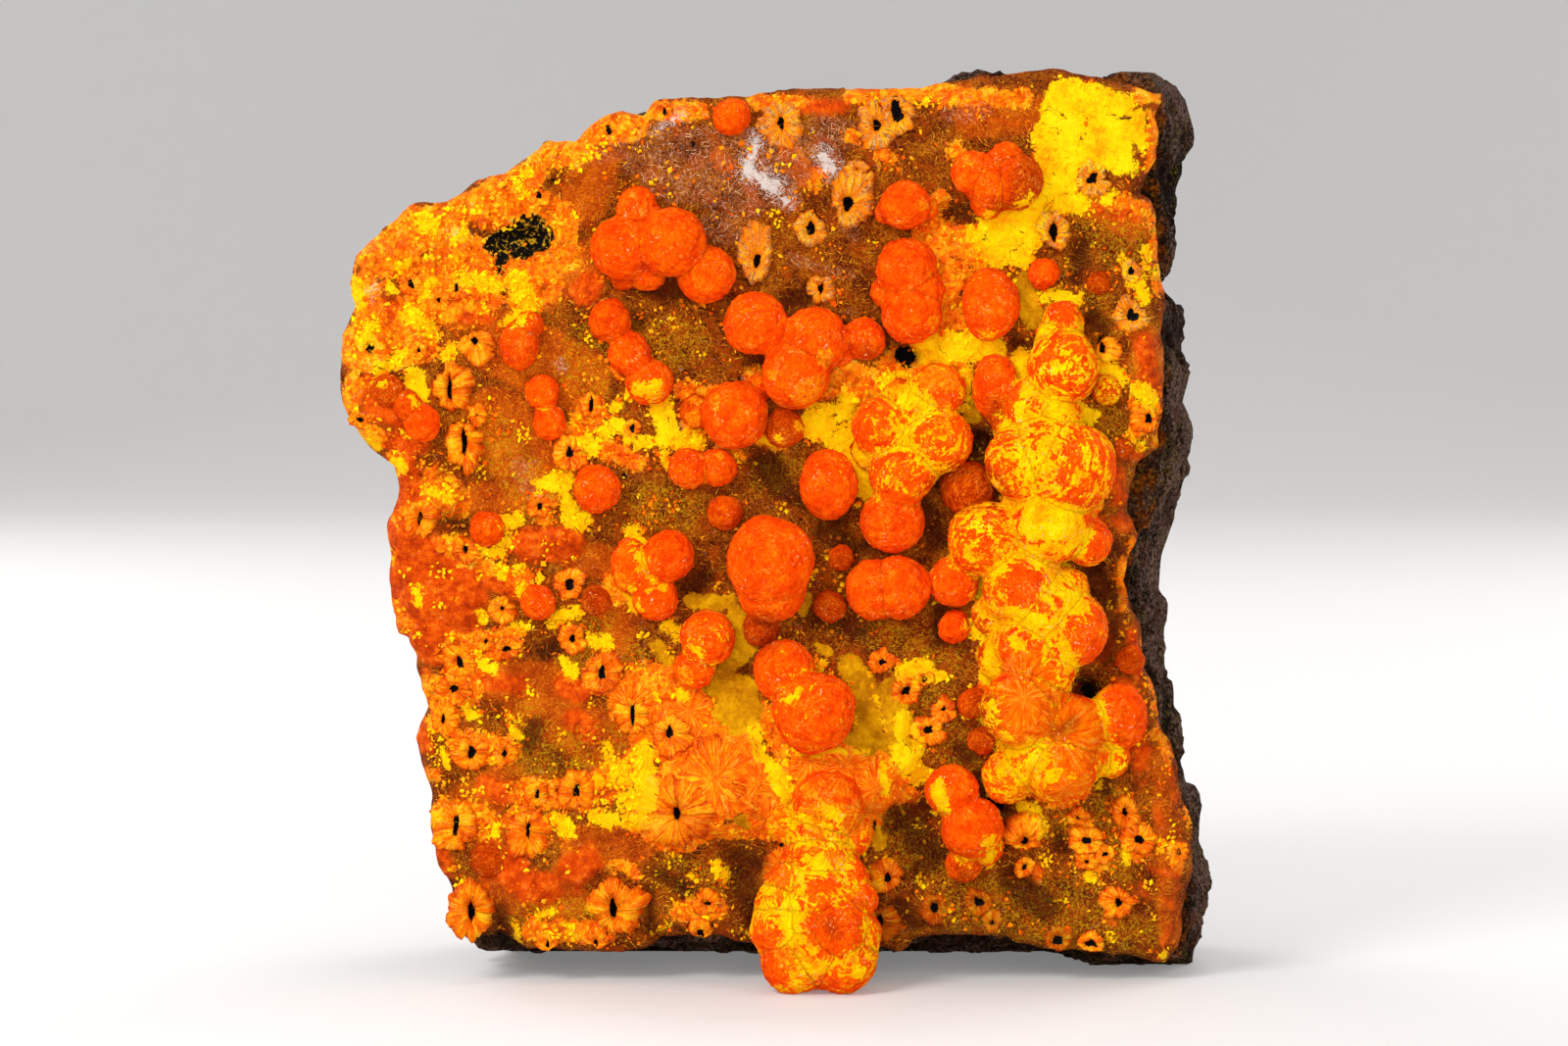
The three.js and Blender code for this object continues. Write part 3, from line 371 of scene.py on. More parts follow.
# ---------- where each colour lies: strokes of x, height, x, height, half width ----------
# Powder in the light.
YELLOW = [
    (7.4, 33.1, 10.5, 33.3, 0.75), (9.5, 31.8, 9.4, 30.2, 0.4), (3.2, 29.4, 3.5, 30.4, 0.6),
    (4.2, 27.4, 4.4, 26.0, 0.6), (2.9, 28.7, 4.2, 27.4, 0.8), (6.2, 31.6, 6.6, 30.6, 0.45),
    (-12.0, 26.2, -11.0, 26.3, 0.5), (14.9, 46.2, 16.6, 45.9, 0.55), (14.6, 45.6, 14.2, 44.0, 1.2),
    (13.9, 43.8, 14.2, 42.4, 1.15), (15.6, 45.5, 17.4, 45.4, 0.65), (16.6, 44.2, 17.6, 43.7, 0.95),
    (15.2, 43.0, 17.2, 42.9, 0.8), (14.3, 42.0, 14.2, 41.0, 0.95), (13.2, 40.8, 15.2, 40.4, 0.6),
    (13.0, 40.2, 10.9, 39.4, 0.85), (12.6, 38.9, 11.0, 38.4, 0.95), (12.4, 37.8, 10.6, 37.9, 0.6),
    (17.2, 42.2, 17.9, 42.4, 0.4), (17.0, 41.0, 16.6, 40.6, 0.3), (18.2, 44.8, 18.4, 43.4, 0.4),
    (9.9, 38.9, 10.2, 38.6, 0.5), (8.5, 33.4, 10.9, 33.2, 0.65), (12.3, 32.7, 12.5, 31.1, 0.5),
    (7.3, 32.9, 8.3, 32.6, 0.55), (13.5, 35.8, 15.2, 35.6, 0.35), (16.4, 32.4, 17.2, 31.6, 0.5),
    (18.6, 38.1, 18.8, 37.1, 0.28), (18.3, 36.3, 18.6, 35.6, 0.35), (18.3, 31.0, 19.0, 30.4, 0.4),
    (17.5, 37.6, 18.0, 36.4, 0.25), (-18.1, 39.6, -17.7, 39.3, 0.5), (-16.5, 38.6, -16.0, 38.9, 0.3),
    (-13.2, 41.7, -12.8, 42.0, 0.3), (-13.0, 41.2, -12.9, 40.8, 0.2), (-21.5, 36.5, -21.3, 35.4, 0.35),
    (-20.6, 34.3, -21.1, 33.5, 0.45), (-18.8, 34.9, -17.9, 34.2, 0.45), (-18.2, 35.6, -17.7, 36.6, 0.3),
    (-16.2, 36.7, -14.4, 36.2, 0.45), (-16.3, 37.6, -16.3, 37.6, 0.25), (-13.3, 36.6, -12.8, 35.3, 0.6),
    (-13.9, 34.5, -13.2, 34.7, 0.4), (-20.2, 32.1, -19.2, 32.9, 0.35), (-18.6, 31.7, -18.2, 30.6, 0.5),
    (-19.4, 37.5, -18.9, 37.3, 0.3), (-19.7, 36.3, -19.7, 36.1, 0.3), (-16.9, 32.8, -16.6, 33.1, 0.35),
    (-20.5, 31.5, -19.9, 31.4, 0.15), (-7.5, 30.9, -6.3, 31.2, 0.4), (-6.3, 30.5, -5.8, 30.2, 0.5),
    (5.5, 31.5, 7.5, 30.3, 0.5), (-20.9, 28.4, -20.5, 28.1, 0.35), (-19.5, 27.3, -19.3, 27.0, 0.35),
    (-11.9, 26.3, -10.8, 26.5, 0.45), (-10.9, 25.5, -10.5, 24.3, 0.45), (-10.2, 24.2, -9.9, 24.5, 0.4),
    (-9.9, 28.5, -9.5, 28.0, 0.45), (-9.0, 28.9, -8.2, 29.2, 0.4), (-10.3, 29.3, -10.2, 28.9, 0.2),
    (-8.4, 30.1, -8.3, 30.2, 0.3), (-7.7, 28.5, -7.5, 28.4, 0.25), (-13.9, 24.2, -13.4, 24.4, 0.4),
    (-13.9, 23.6, -14.1, 23.1, 0.25), (-15.0, 22.8, -14.2, 22.6, 0.3), (-14.3, 22.0, -14.2, 21.6, 0.25),
    (-13.4, 22.0, -13.3, 21.9, 0.25), (-16.9, 23.5, -16.7, 23.5, 0.2), (-13.2, 20.8, -13.1, 20.8, 0.35),
    (-12.2, 21.3, -12.2, 21.4, 0.2), (-18.5, 21.0, -18.4, 20.0, 0.15), (-19.9, 22.9, -19.9, 22.4, 0.15),
    (-11.4, 19.3, -10.3, 19.7, 0.35), (-11.6, 19.0, -11.5, 19.1, 0.3), (-13.5, 19.0, -12.9, 18.8, 0.2),
    (-15.2, 19.6, -15.1, 19.3, 0.25), (-9.5, 18.2, -8.8, 18.0, 0.35), (-11.0, 17.0, -10.6, 16.6, 0.35),
    (-15.2, 17.0, -14.6, 16.8, 0.3), (-7.5, 23.8, -7.2, 23.3, 0.4), (-7.4, 20.2, -7.5, 20.8, 0.35),
    (-17.8, 25.9, -16.9, 25.6, 0.3), (-6.0, 29.9, -5.6, 28.6, 0.65), (-5.2, 28.5, -4.2, 28.2, 0.5),
    (-5.9, 27.7, -5.7, 27.2, 0.25), (-7.3, 28.1, -6.6, 28.4, 0.3), (1.6, 29.3, 3.3, 28.8, 0.75),
    (-0.8, 28.4, -0.2, 28.3, 0.3), (1.9, 30.0, 3.0, 30.0, 0.4), (6.8, 29.2, 7.0, 29.9, 0.35),
    (6.5, 28.6, 6.8, 28.2, 0.3), (5.4, 27.9, 6.5, 28.2, 0.3), (-7.1, 22.7, -6.9, 22.0, 0.25),
    (-6.9, 22.0, -6.4, 21.3, 0.25), (-7.5, 20.5, -7.3, 19.9, 0.35), (-6.8, 21.0, -5.8, 21.0, 0.15),
    (-5.7, 19.0, -4.9, 18.3, 0.35), (-4.8, 18.2, -4.0, 17.6, 0.2), (-5.3, 15.6, -4.7, 15.3, 0.25),
    (6.2, 16.7, 7.5, 16.9, 0.4), (7.0, 16.2, 8.4, 16.4, 0.22), (1.5, 16.5, 2.2, 17.0, 0.3),
    (0.5, 15.5, 1.3, 16.2, 0.15), (12.1, 30.3, 12.0, 29.0, 0.4), (13.7, 29.6, 14.2, 30.3, 0.4),
    (14.5, 30.3, 15.8, 29.6, 0.45), (12.5, 28.7, 12.8, 27.5, 0.3), (13.0, 26.5, 14.0, 26.2, 0.3),
    (12.2, 25.2, 15.0, 25.0, 0.5), (12.6, 24.3, 15.3, 23.9, 0.7), (12.7, 23.0, 14.8, 23.2, 0.4),
    (14.0, 22.6, 14.6, 21.3, 0.5), (11.4, 22.1, 10.4, 21.6, 0.3), (10.2, 21.0, 10.3, 20.0, 0.3),
    (14.5, 20.9, 15.3, 20.2, 0.6), (11.0, 19.9, 13.2, 19.4, 0.5), (11.2, 18.9, 12.2, 18.3, 0.4),
    (10.8, 18.5, 10.8, 16.5, 0.6), (14.3, 18.3, 14.8, 17.3, 0.35), (14.8, 16.8, 14.6, 16.2, 0.4),
    (9.7, 19.0, 10.3, 18.6, 0.4), (10.6, 15.3, 10.5, 14.3, 0.35), (18.6, 30.5, 19.0, 30.2, 0.35),
    (17.6, 28.7, 18.0, 28.4, 0.2), (18.4, 28.3, 18.5, 28.0, 0.2), (-16.0, 14.6, -15.4, 14.3, 0.28),
    (-13.5, 13.5, -13.3, 13.2, 0.25), (-13.8, 14.2, -13.2, 14.1, 0.15), (-17.2, 12.5, -17.0, 11.8, 0.2),
    (-8.8, 12.7, -8.7, 12.0, 0.3), (-9.2, 11.0, -8.0, 11.0, 0.3), (-6.9, 12.5, -6.7, 10.0, 0.6),
    (-7.5, 11.3, -7.2, 11.5, 0.3), (-7.8, 10.0, -6.7, 9.9, 0.55), (-8.9, 9.1, -7.0, 9.0, 0.4),
    (-8.6, 11.4, -8.0, 11.8, 0.3), (-9.5, 9.3, -8.8, 8.7, 0.3), (-11.5, 9.2, -10.8, 8.5, 0.4),
    (-14.5, 8.6, -14.6, 8.3, 0.28), (-17.5, 9.5, -17.6, 8.8, 0.15), (-12.3, 4.1, -11.6, 4.3, 0.25),
    (-10.8, 3.6, -10.7, 3.3, 0.22), (-13.5, 3.5, -13.4, 2.8, 0.22), (-9.8, 4.5, -9.4, 4.4, 0.15),
    (-4.4, 6.0, -4.4, 6.1, 0.2), (-5.8, 3.5, -6.1, 3.3, 0.15), (-3.2, 6.6, -2.8, 6.0, 0.3),
    (-1.2, 13.6, -0.8, 12.3, 0.35), (-0.4, 11.8, 0.4, 10.6, 0.4), (0.8, 12.9, 1.8, 12.6, 0.25),
    (-0.2, 14.8, 0.5, 13.3, 0.2), (6.2, 14.2, 6.4, 13.5, 0.45), (6.3, 12.4, 7.0, 11.4, 0.65),
    (2.3, 10.0, 3.0, 9.6, 0.35), (0.5, 5.5, 0.8, 5.0, 0.3), (0.4, 4.4, 0.8, 3.8, 0.5),
    (1.3, 3.4, 1.7, 3.0, 0.25), (1.5, 7.5, 2.4, 7.2, 0.35), (3.0, 6.6, 3.4, 6.3, 0.3),
    (2.9, 5.3, 3.2, 5.0, 0.15), (1.2, 6.4, 1.1, 5.8, 0.15), (3.9, 1.9, 4.2, 1.5, 0.35),
    (2.8, 2.4, 3.9, 2.6, 0.12), (2.8, 0.9, 3.6, 0.8, 0.15), (7.9, 11.0, 8.2, 9.7, 0.5),
    (11.3, 13.5, 11.4, 12.0, 0.5), (12.4, 9.8, 13.0, 9.6, 0.35), (13.3, 9.0, 13.5, 8.4, 0.25),
    (16.5, 14.2, 16.6, 13.5, 0.15), (16.6, 12.9, 17.4, 12.7, 0.3), (10.8, 8.0, 10.6, 7.0, 0.5),
    (17.7, 7.7, 17.8, 6.7, 0.22), (15.8, 6.1, 15.9, 6.0, 0.25), (19.6, 7.8, 19.5, 7.6, 0.2),
    (16.8, 2.9, 17.1, 2.8, 0.15), (19.8, 1.9, 19.8, 2.0, 0.25), (5.2, 12.0, 5.5, 10.6, 0.2),
    (1.0, 12.9, 4.4, 12.6, 0.12), (6.9, 13.8, 7.2, 12.6, 0.3), (4.6, 16.6, 5.4, 13.6, 0.05),
]
# Powder in the shade of hollows: smooth, and painted olive as its shade.
OLIVE = [
    (-4.5, 20.2, -2.4, 20.1, 0.4), (-2.2, 19.4, -2.0, 18.0, 0.6), (-1.8, 17.8, -2.9, 16.8, 0.6),
    (-3.2, 16.1, -1.8, 15.5, 0.85), (-2.6, 14.6, -1.6, 14.6, 0.8), (-2.2, 13.9, -1.6, 14.2, 0.5),
    (1.2, 19.6, 1.5, 20.5, 0.22), (2.5, 17.7, 1.9, 18.0, 0.3), (3.6, 16.9, 4.4, 16.0, 0.6),
    (4.4, 15.5, 4.6, 13.2, 0.8), (5.8, 15.6, 6.2, 12.8, 0.75), (12.4, 36.4, 12.9, 34.6, 0.55),
    (9.4, 30.6, 9.8, 29.7, 0.45), (4.9, 8.4, 5.2, 7.8, 0.35), (16.4, 10.9, 16.3, 10.7, 0.2),
    (-2.0, 9.2, -1.7, 8.8, 0.3), (10.4, 17.6, 10.7, 16.3, 0.4), (3.6, 13.3, 5.2, 12.9, 0.35),
    (-6.2, 17.9, -5.7, 17.2, 0.35),
]
# Crumbly orange druse, which makes up the left and top edges and the rosettes' surroundings.
AMBER = [
    (5.8, 32.2, 8.6, 31.9, 0.9), (4.0, 30.9, 5.6, 31.4, 0.8), (12.4, 15.8, 12.2, 13.6, 1.5),
    (14.6, 13.0, 14.2, 11.2, 1.6), (11.6, 11.4, 12.0, 11.0, 1.0), (3.4, 43.8, 3.8, 43.8, 0.3),
    (8.9, 43.2, 9.3, 42.8, 0.4), (5.2, 42.9, 5.6, 42.7, 0.38), (1.9, 41.9, 1.9, 41.5, 0.3),
    (8.2, 34.4, 8.4, 33.8, 0.7), (1.4, 2.0, 0.4, 2.8, 0.7), (0.2, 6.9, 0.4, 5.8, 0.6),
    (2.2, 9.6, 3.2, 9.4, 0.9), (-9.2, 44.2, -7.4, 44.5, 0.85), (-12.0, 42.9, -10.0, 43.2, 0.75),
    (-14.6, 41.0, -12.4, 42.1, 0.8), (-17.2, 39.9, -15.0, 40.6, 0.75), (-19.0, 39.4, -17.0, 39.0, 1.1),
    (-20.9, 38.2, -19.3, 37.6, 1.1), (-21.2, 36.2, -20.7, 34.6, 0.9), (-21.3, 33.1, -18.5, 33.5, 1.2),
    (-16.2, 37.6, -12.4, 37.1, 1.2), (-14.6, 39.9, -11.6, 40.1, 0.9), (-11.0, 39.5, -10.9, 37.7, 0.8),
    (-18.2, 36.6, -15.0, 36.1, 1.2), (-13.0, 35.7, -11.7, 36.4, 0.8), (-18.6, 34.9, -16.8, 35.3, 0.8),
    (-21.6, 31.6, -21.9, 30.2, 0.5), (-6.3, 45.2, -4.2, 45.2, 0.5), (-1.2, 45.7, 1.0, 45.6, 0.4),
    (3.8, 45.9, 8.4, 46.1, 0.45), (-3.4, 30.6, -4.9, 30.9, 0.5), (1.6, 31.0, 3.6, 31.6, 0.8),
    (3.1, 32.0, 5.6, 31.5, 0.6), (2.4, 32.7, 2.6, 32.4, 0.5), (-1.3, 31.7, -0.6, 31.9, 0.45),
    (5.3, 32.9, 5.8, 32.6, 0.25), (7.6, 39.0, 9.6, 38.3, 0.85), (8.3, 37.2, 9.0, 36.8, 0.8),
    (8.7, 35.6, 8.9, 34.5, 0.6), (9.7, 37.9, 10.2, 37.6, 0.5), (7.6, 40.3, 8.2, 40.6, 0.5),
    (8.3, 45.9, 12.3, 45.8, 0.5), (18.3, 46.0, 19.0, 45.9, 0.4), (19.0, 45.0, 18.9, 42.4, 0.35),
    (17.2, 40.6, 18.7, 40.2, 0.35), (19.0, 39.5, 19.3, 36.0, 0.25), (-21.5, 29.0, -20.5, 28.6, 0.55),
    (-17.4, 26.2, -16.6, 25.2, 0.9), (-16.8, 23.1, -15.7, 22.5, 0.6), (-15.0, 22.0, -13.0, 21.3, 0.45),
    (-19.7, 19.9, -19.3, 19.0, 0.45), (-16.5, 17.7, -13.8, 18.1, 0.8), (-10.5, 28.2, -9.5, 30.0, 0.75),
    (-8.6, 27.9, -7.4, 27.4, 0.55), (-12.3, 25.3, -12.0, 24.5, 0.5), (-17.8, 15.6, -16.0, 15.7, 0.85),
    (-8.4, 21.3, -8.1, 20.6, 0.6), (-4.5, 29.5, -4.2, 28.5, 0.5), (-1.0, 28.5, 0.0, 28.2, 0.4),
    (-3.0, 27.9, -2.0, 27.7, 0.25), (1.0, 30.6, 2.0, 30.9, 0.45), (-8.0, 27.6, -7.0, 27.4, 0.35),
    (-6.8, 16.3, -5.0, 16.5, 0.65), (-8.0, 15.6, -5.0, 15.4, 0.75), (19.4, 30.8, 19.2, 28.2, 0.2),
    (18.3, 30.0, 18.2, 29.0, 0.45), (18.2, 23.5, 18.0, 22.7, 0.15), (17.5, 22.3, 17.6, 20.0, 0.3),
    (18.7, 18.0, 19.4, 14.4, 0.22), (-17.6, 14.0, -16.8, 13.7, 0.5), (-16.2, 12.8, -14.0, 12.6, 0.75),
    (-18.0, 11.3, -17.5, 11.3, 0.35), (-12.9, 10.4, -10.0, 10.2, 0.8), (-17.0, 9.1, -15.5, 8.9, 1.0),
    (-13.3, 9.0, -12.6, 8.0, 0.8), (-7.0, 15.9, -4.0, 14.2, 1.1), (-7.0, 9.5, -4.2, 9.0, 1.2),
    (-5.0, 11.2, -3.0, 10.2, 1.2), (-5.6, 12.6, -3.0, 12.6, 0.9), (-9.9, 10.6, -9.3, 11.3, 0.45),
    (-12.6, 3.3, -9.0, 3.2, 0.6), (-4.9, 4.3, -3.2, 4.4, 0.6), (-8.3, 6.7, -7.4, 6.3, 0.35),
    (-2.4, 13.2, -1.8, 11.4, 0.85), (-3.4, 8.6, -1.2, 8.5, 0.5), (-0.4, 9.8, 0.9, 9.6, 0.5),
    (0.4, 11.6, 1.4, 11.0, 0.6), (5.3, 11.2, 6.1, 10.3, 0.4), (17.3, 10.0, 18.0, 8.6, 0.55),
    (18.5, 8.0, 18.4, 7.4, 0.55), (15.6, 8.3, 16.5, 7.0, 0.65), (19.2, 13.5, 20.1, 12.0, 0.25),
    (20.8, 9.5, 21.0, 8.5, 0.15), (20.2, 7.5, 20.4, 6.8, 0.4), (-20.3, 26.0, -19.6, 27.6, 0.3),
    (-0.8, 14.6, 0.2, 12.6, 0.5), (1.5, 13.0, 5.0, 12.2, 0.4), (4.9, 12.6, 6.6, 10.2, 0.6),
    (-8.6, 10.6, -7.0, 12.6, 0.6), (-19.6, 24.6, -19.0, 24.9, 0.3),
]
# Smooth red-orange druse, and the bare tops of coated spherules.
RED = [
    (2.6, 4.4, 2.8, 3.8, 1.1), (-0.6, 3.2, -0.2, 2.2, 0.6), (4.1, 5.3, 4.2, 5.3, 0.6),
    (2.0, 1.0, 2.6, 1.2, 0.4), (0.2, 6.6, 0.3, 7.6, 0.4), (14.8, 15.0, 15.4, 12.6, 0.9),
    (12.6, 17.2, 13.2, 16.2, 1.1), (16.0, 18.8, 16.0, 17.8, 0.7), (17.5, 15.4, 17.9, 13.4, 0.9),
    (15.9, 24.2, 16.3, 23.4, 0.6), (9.2, 9.6, 9.8, 8.6, 0.9), (12.0, 21.6, 12.8, 20.4, 0.6),
    (10.9, 32.2, 10.9, 30.4, 0.9), (5.6, 24.4, 6.0, 24.2, 1.4), (8.3, 31.3, 8.4, 31.0, 0.7),
    (8.9, 21.4, 8.6, 21.0, 0.9), (12.4, 17.2, 12.6, 15.0, 1.3), (14.3, 14.2, 15.6, 13.0, 1.1),
    (14.4, 35.0, 14.4, 35.0, 0.5), (14.9, 11.0, 14.5, 10.8, 0.5), (15.8, 19.0, 16.2, 18.0, 0.9),
    (-19.2, 38.6, -17.3, 38.3, 0.35), (-20.4, 35.2, -19.6, 34.8, 0.7), (-21.0, 31.2, -19.6, 30.7, 0.7),
    (-16.5, 34.8, -14.9, 34.7, 0.35), (0.9, 45.4, 3.3, 45.4, 0.35), (-20.5, 30.2, -19.0, 29.8, 0.8),
    (-20.0, 28.5, -18.3, 28.2, 0.5), (-19.3, 27.2, -18.8, 25.2, 0.8), (-19.5, 25.0, -19.3, 19.0, 0.8),
    (-18.4, 22.9, -16.4, 22.4, 0.8), (-18.4, 21.6, -16.0, 21.0, 1.0), (-18.4, 19.4, -17.6, 18.0, 1.1),
    (-15.4, 21.6, -13.4, 20.8, 0.5), (-14.6, 24.1, -13.6, 23.2, 0.5), (-19.5, 22.0, -19.3, 21.0, 0.5),
    (-18.4, 22.7, -16.9, 22.9, 0.4), (-18.0, 20.6, -15.8, 20.3, 1.0), (-17.4, 19.6, -16.0, 19.2, 0.9),
    (-17.9, 18.1, -17.4, 17.5, 0.5), (-12.7, 23.1, -10.8, 23.2, 0.9), (-9.4, 20.5, -9.2, 20.0, 0.55),
    (-15.2, 16.3, -13.4, 16.0, 0.5), (-10.9, 15.9, -10.2, 15.6, 0.6), (-18.1, 16.5, -18.0, 15.4, 0.3),
    (17.5, 27.8, 18.3, 27.7, 0.3), (17.2, 26.8, 17.3, 25.3, 0.35), (17.3, 24.3, 17.7, 24.0, 0.35),
    (18.0, 18.5, 18.3, 16.5, 0.3), (-18.3, 13.4, -18.0, 12.7, 0.35), (-15.0, 10.8, -13.9, 10.4, 0.55),
    (-17.3, 7.5, -17.0, 6.4, 0.35), (-14.9, 7.1, -13.5, 6.5, 0.8), (-13.0, 5.8, -12.0, 5.5, 0.9),
    (-10.6, 6.6, -9.8, 6.9, 0.75), (-14.9, 8.0, -14.7, 8.0, 0.3), (-14.0, 6.0, -10.0, 6.2, 0.3),
    (-10.4, 5.2, -9.6, 7.8, 0.1), (-15.4, 6.6, -15.0, 5.6, 0.1), (-10.4, 14.2, -9.7, 13.6, 0.6),
    (1.8, 10.8, 4.4, 11.2, 0.8), (4.2, 10.3, 5.3, 10.2, 0.45), (-3.0, 10.9, -0.6, 10.1, 0.08),
    (2.2, 8.4, 4.2, 9.0, 0.06), (19.9, 11.6, 20.3, 10.0, 0.1), (19.3, 9.5, 19.5, 8.8, 0.1),
    (19.0, 6.5, 20.4, 6.2, 0.1), (19.6, 5.0, 20.2, 4.5, 0.1), (20.0, 3.5, 19.6, 2.6, 0.1),
    (20.6, 8.6, 20.4, 5.4, 0.0), (18.6, 10.8, 18.8, 11.2, 0.0), (18.4, 5.8, 18.8, 5.0, 0.0),
    (13.2, 6.4, 13.2, 6.0, 0.3), (16.8, 3.8, 17.2, 3.7, 0.1), (18.6, 33.4, 18.8, 31.6, 0.5),
    (-9.6, 36.4, -9.9, 36.0, 0.7), (16.2, 40.2, 18.0, 39.9, 0.4), (10.6, 44.7, 12.2, 44.5, 0.0),
    (-18.9, 12.4, -18.2, 14.0, 0.25), (18.4, 11.8, 18.6, 12.6, 0.35), (-20.8, 37.0, -20.6, 36.6, 0.2),
]
# White and grey films.
PALE = [
    (-1.2, 43.6, -1.5, 42.5, 0.55), (-1.5, 42.1, -0.1, 41.2, 0.65), (0.2, 40.9, 0.5, 40.5, 0.4),
    (2.2, 42.9, 2.7, 42.2, 0.55), (-6.1, 44.2, -5.0, 45.0, 0.25), (-20.6, 36.2, -20.9, 35.8, 0.25),
    (-5.3, 29.0, -5.1, 28.4, 0.25), (-11.2, 32.3, -11.1, 32.1, 0.1), (-16.5, 38.9, -16.1, 38.9, 0.25),
]
# Felt with specks of yellow.
DUSTY = [
    (-13.0, 12.4, -9.0, 12.8, 1.2), (-12.8, 14.4, -12.0, 13.6, 0.7), (-7.2, 17.8, -6.0, 17.0, 0.8),
    (-6.6, 25.2, -5.0, 25.0, 1.2), (16.2, 39.6, 17.4, 38.4, 1.3), (16.2, 35.6, 17.2, 34.6, 0.8),
    (8.6, 13.2, 9.6, 11.4, 1.0), (5.8, 8.6, 8.2, 6.0, 1.2), (9.6, 4.4, 15.6, 4.6, 1.5),
    (16.6, 7.6, 17.6, 6.6, 0.8), (-5.4, 6.2, -3.0, 5.6, 0.9), (-13.0, 4.0, -10.0, 4.4, 0.8),
    (-10.0, 17.4, -9.2, 19.2, 0.8), (4.8, 18.6, 7.6, 17.4, 0.8), (16.8, 29.4, 18.0, 28.6, 0.8),
    (-9.6, 33.0, -5.0, 33.4, 1.4), (-10.6, 32.0, -9.4, 31.0, 0.9), (12.0, 2.8, 18.6, 3.0, 0.9),
    (-14.8, 28.8, -12.4, 25.6, 1.2), (14.9, 8.6, 16.6, 9.4, 0.9), (6.8, 14.8, 8.8, 17.0, 0.9),
    (-0.6, 26.4, 0.6, 27.6, 0.9), (15.4, 32.6, 16.6, 33.4, 0.5), (-2.0, 14.4, -1.0, 15.2, 0.5),
]
# Felt with pinkish-white streaks.
PINK = [
    (-6.6, 43.0, -3.0, 42.2, 1.4), (-4.6, 43.8, -2.2, 43.7, 0.6), (-9.6, 42.9, -7.4, 43.6, 0.5),
    (2.0, 44.3, 3.4, 44.0, 0.7), (-2.5, 39.1, -3.4, 39.2, 0.7), (-5.9, 41.6, -2.6, 41.2, 1.0),
    (0.4, 43.4, 2.2, 43.0, 0.9), (3.0, 37.0, 3.4, 36.7, 0.1), (3.2, 35.0, 3.8, 34.9, 0.1),
    (-2.0, 40.7, 0.4, 42.2, 1.1), (-13.2, 27.0, -12.6, 25.8, 0.5), (8.8, 45.2, 10.2, 45.4, 0.6),
    (0.8, 37.6, 3.6, 36.8, 0.2), (3.4, 39.2, 4.0, 38.6, 0.2),
]
# Felt with an orange tint.
ORANGE_FELT = [
    (-14.0, 33.4, -10.4, 31.6, 1.8), (-14.4, 29.4, -12.4, 26.4, 1.8), (-12.0, 36.4, -9.8, 37.4, 1.3),
    (-10.0, 40.6, -9.4, 42.4, 1.2), (-8.4, 19.6, -8.0, 18.2, 0.8), (-12.6, 15.2, -9.0, 13.0, 1.5),
    (9.8, 44.8, 13.0, 45.0, 1.0), (16.0, 40.4, 18.2, 39.4, 0.8), (-15.6, 25.6, -13.4, 25.4, 0.8),
    (-10.4, 22.4, -9.0, 22.2, 0.9), (-15.2, 16.2, -12.0, 16.2, 1.0), (-10.0, 7.6, -7.4, 7.8, 1.1),
    (-14.0, 5.4, -11.0, 5.0, 1.3), (18.6, 33.6, 18.9, 31.0, 0.8), (19.6, 12.4, 20.0, 3.0, 0.6),
    (-3.2, 42.9, -2.6, 42.4, 0.4), (0.6, 43.0, 1.4, 41.8, 0.6), (-16.6, 34.9, -13.6, 34.4, 0.8),
    (-14.0, 11.2, -14.8, 10.2, 1.0), (18.2, 13.0, 18.8, 12.0, 0.6), (-15.9, 10.0, -14.0, 6.4, 1.0),
]
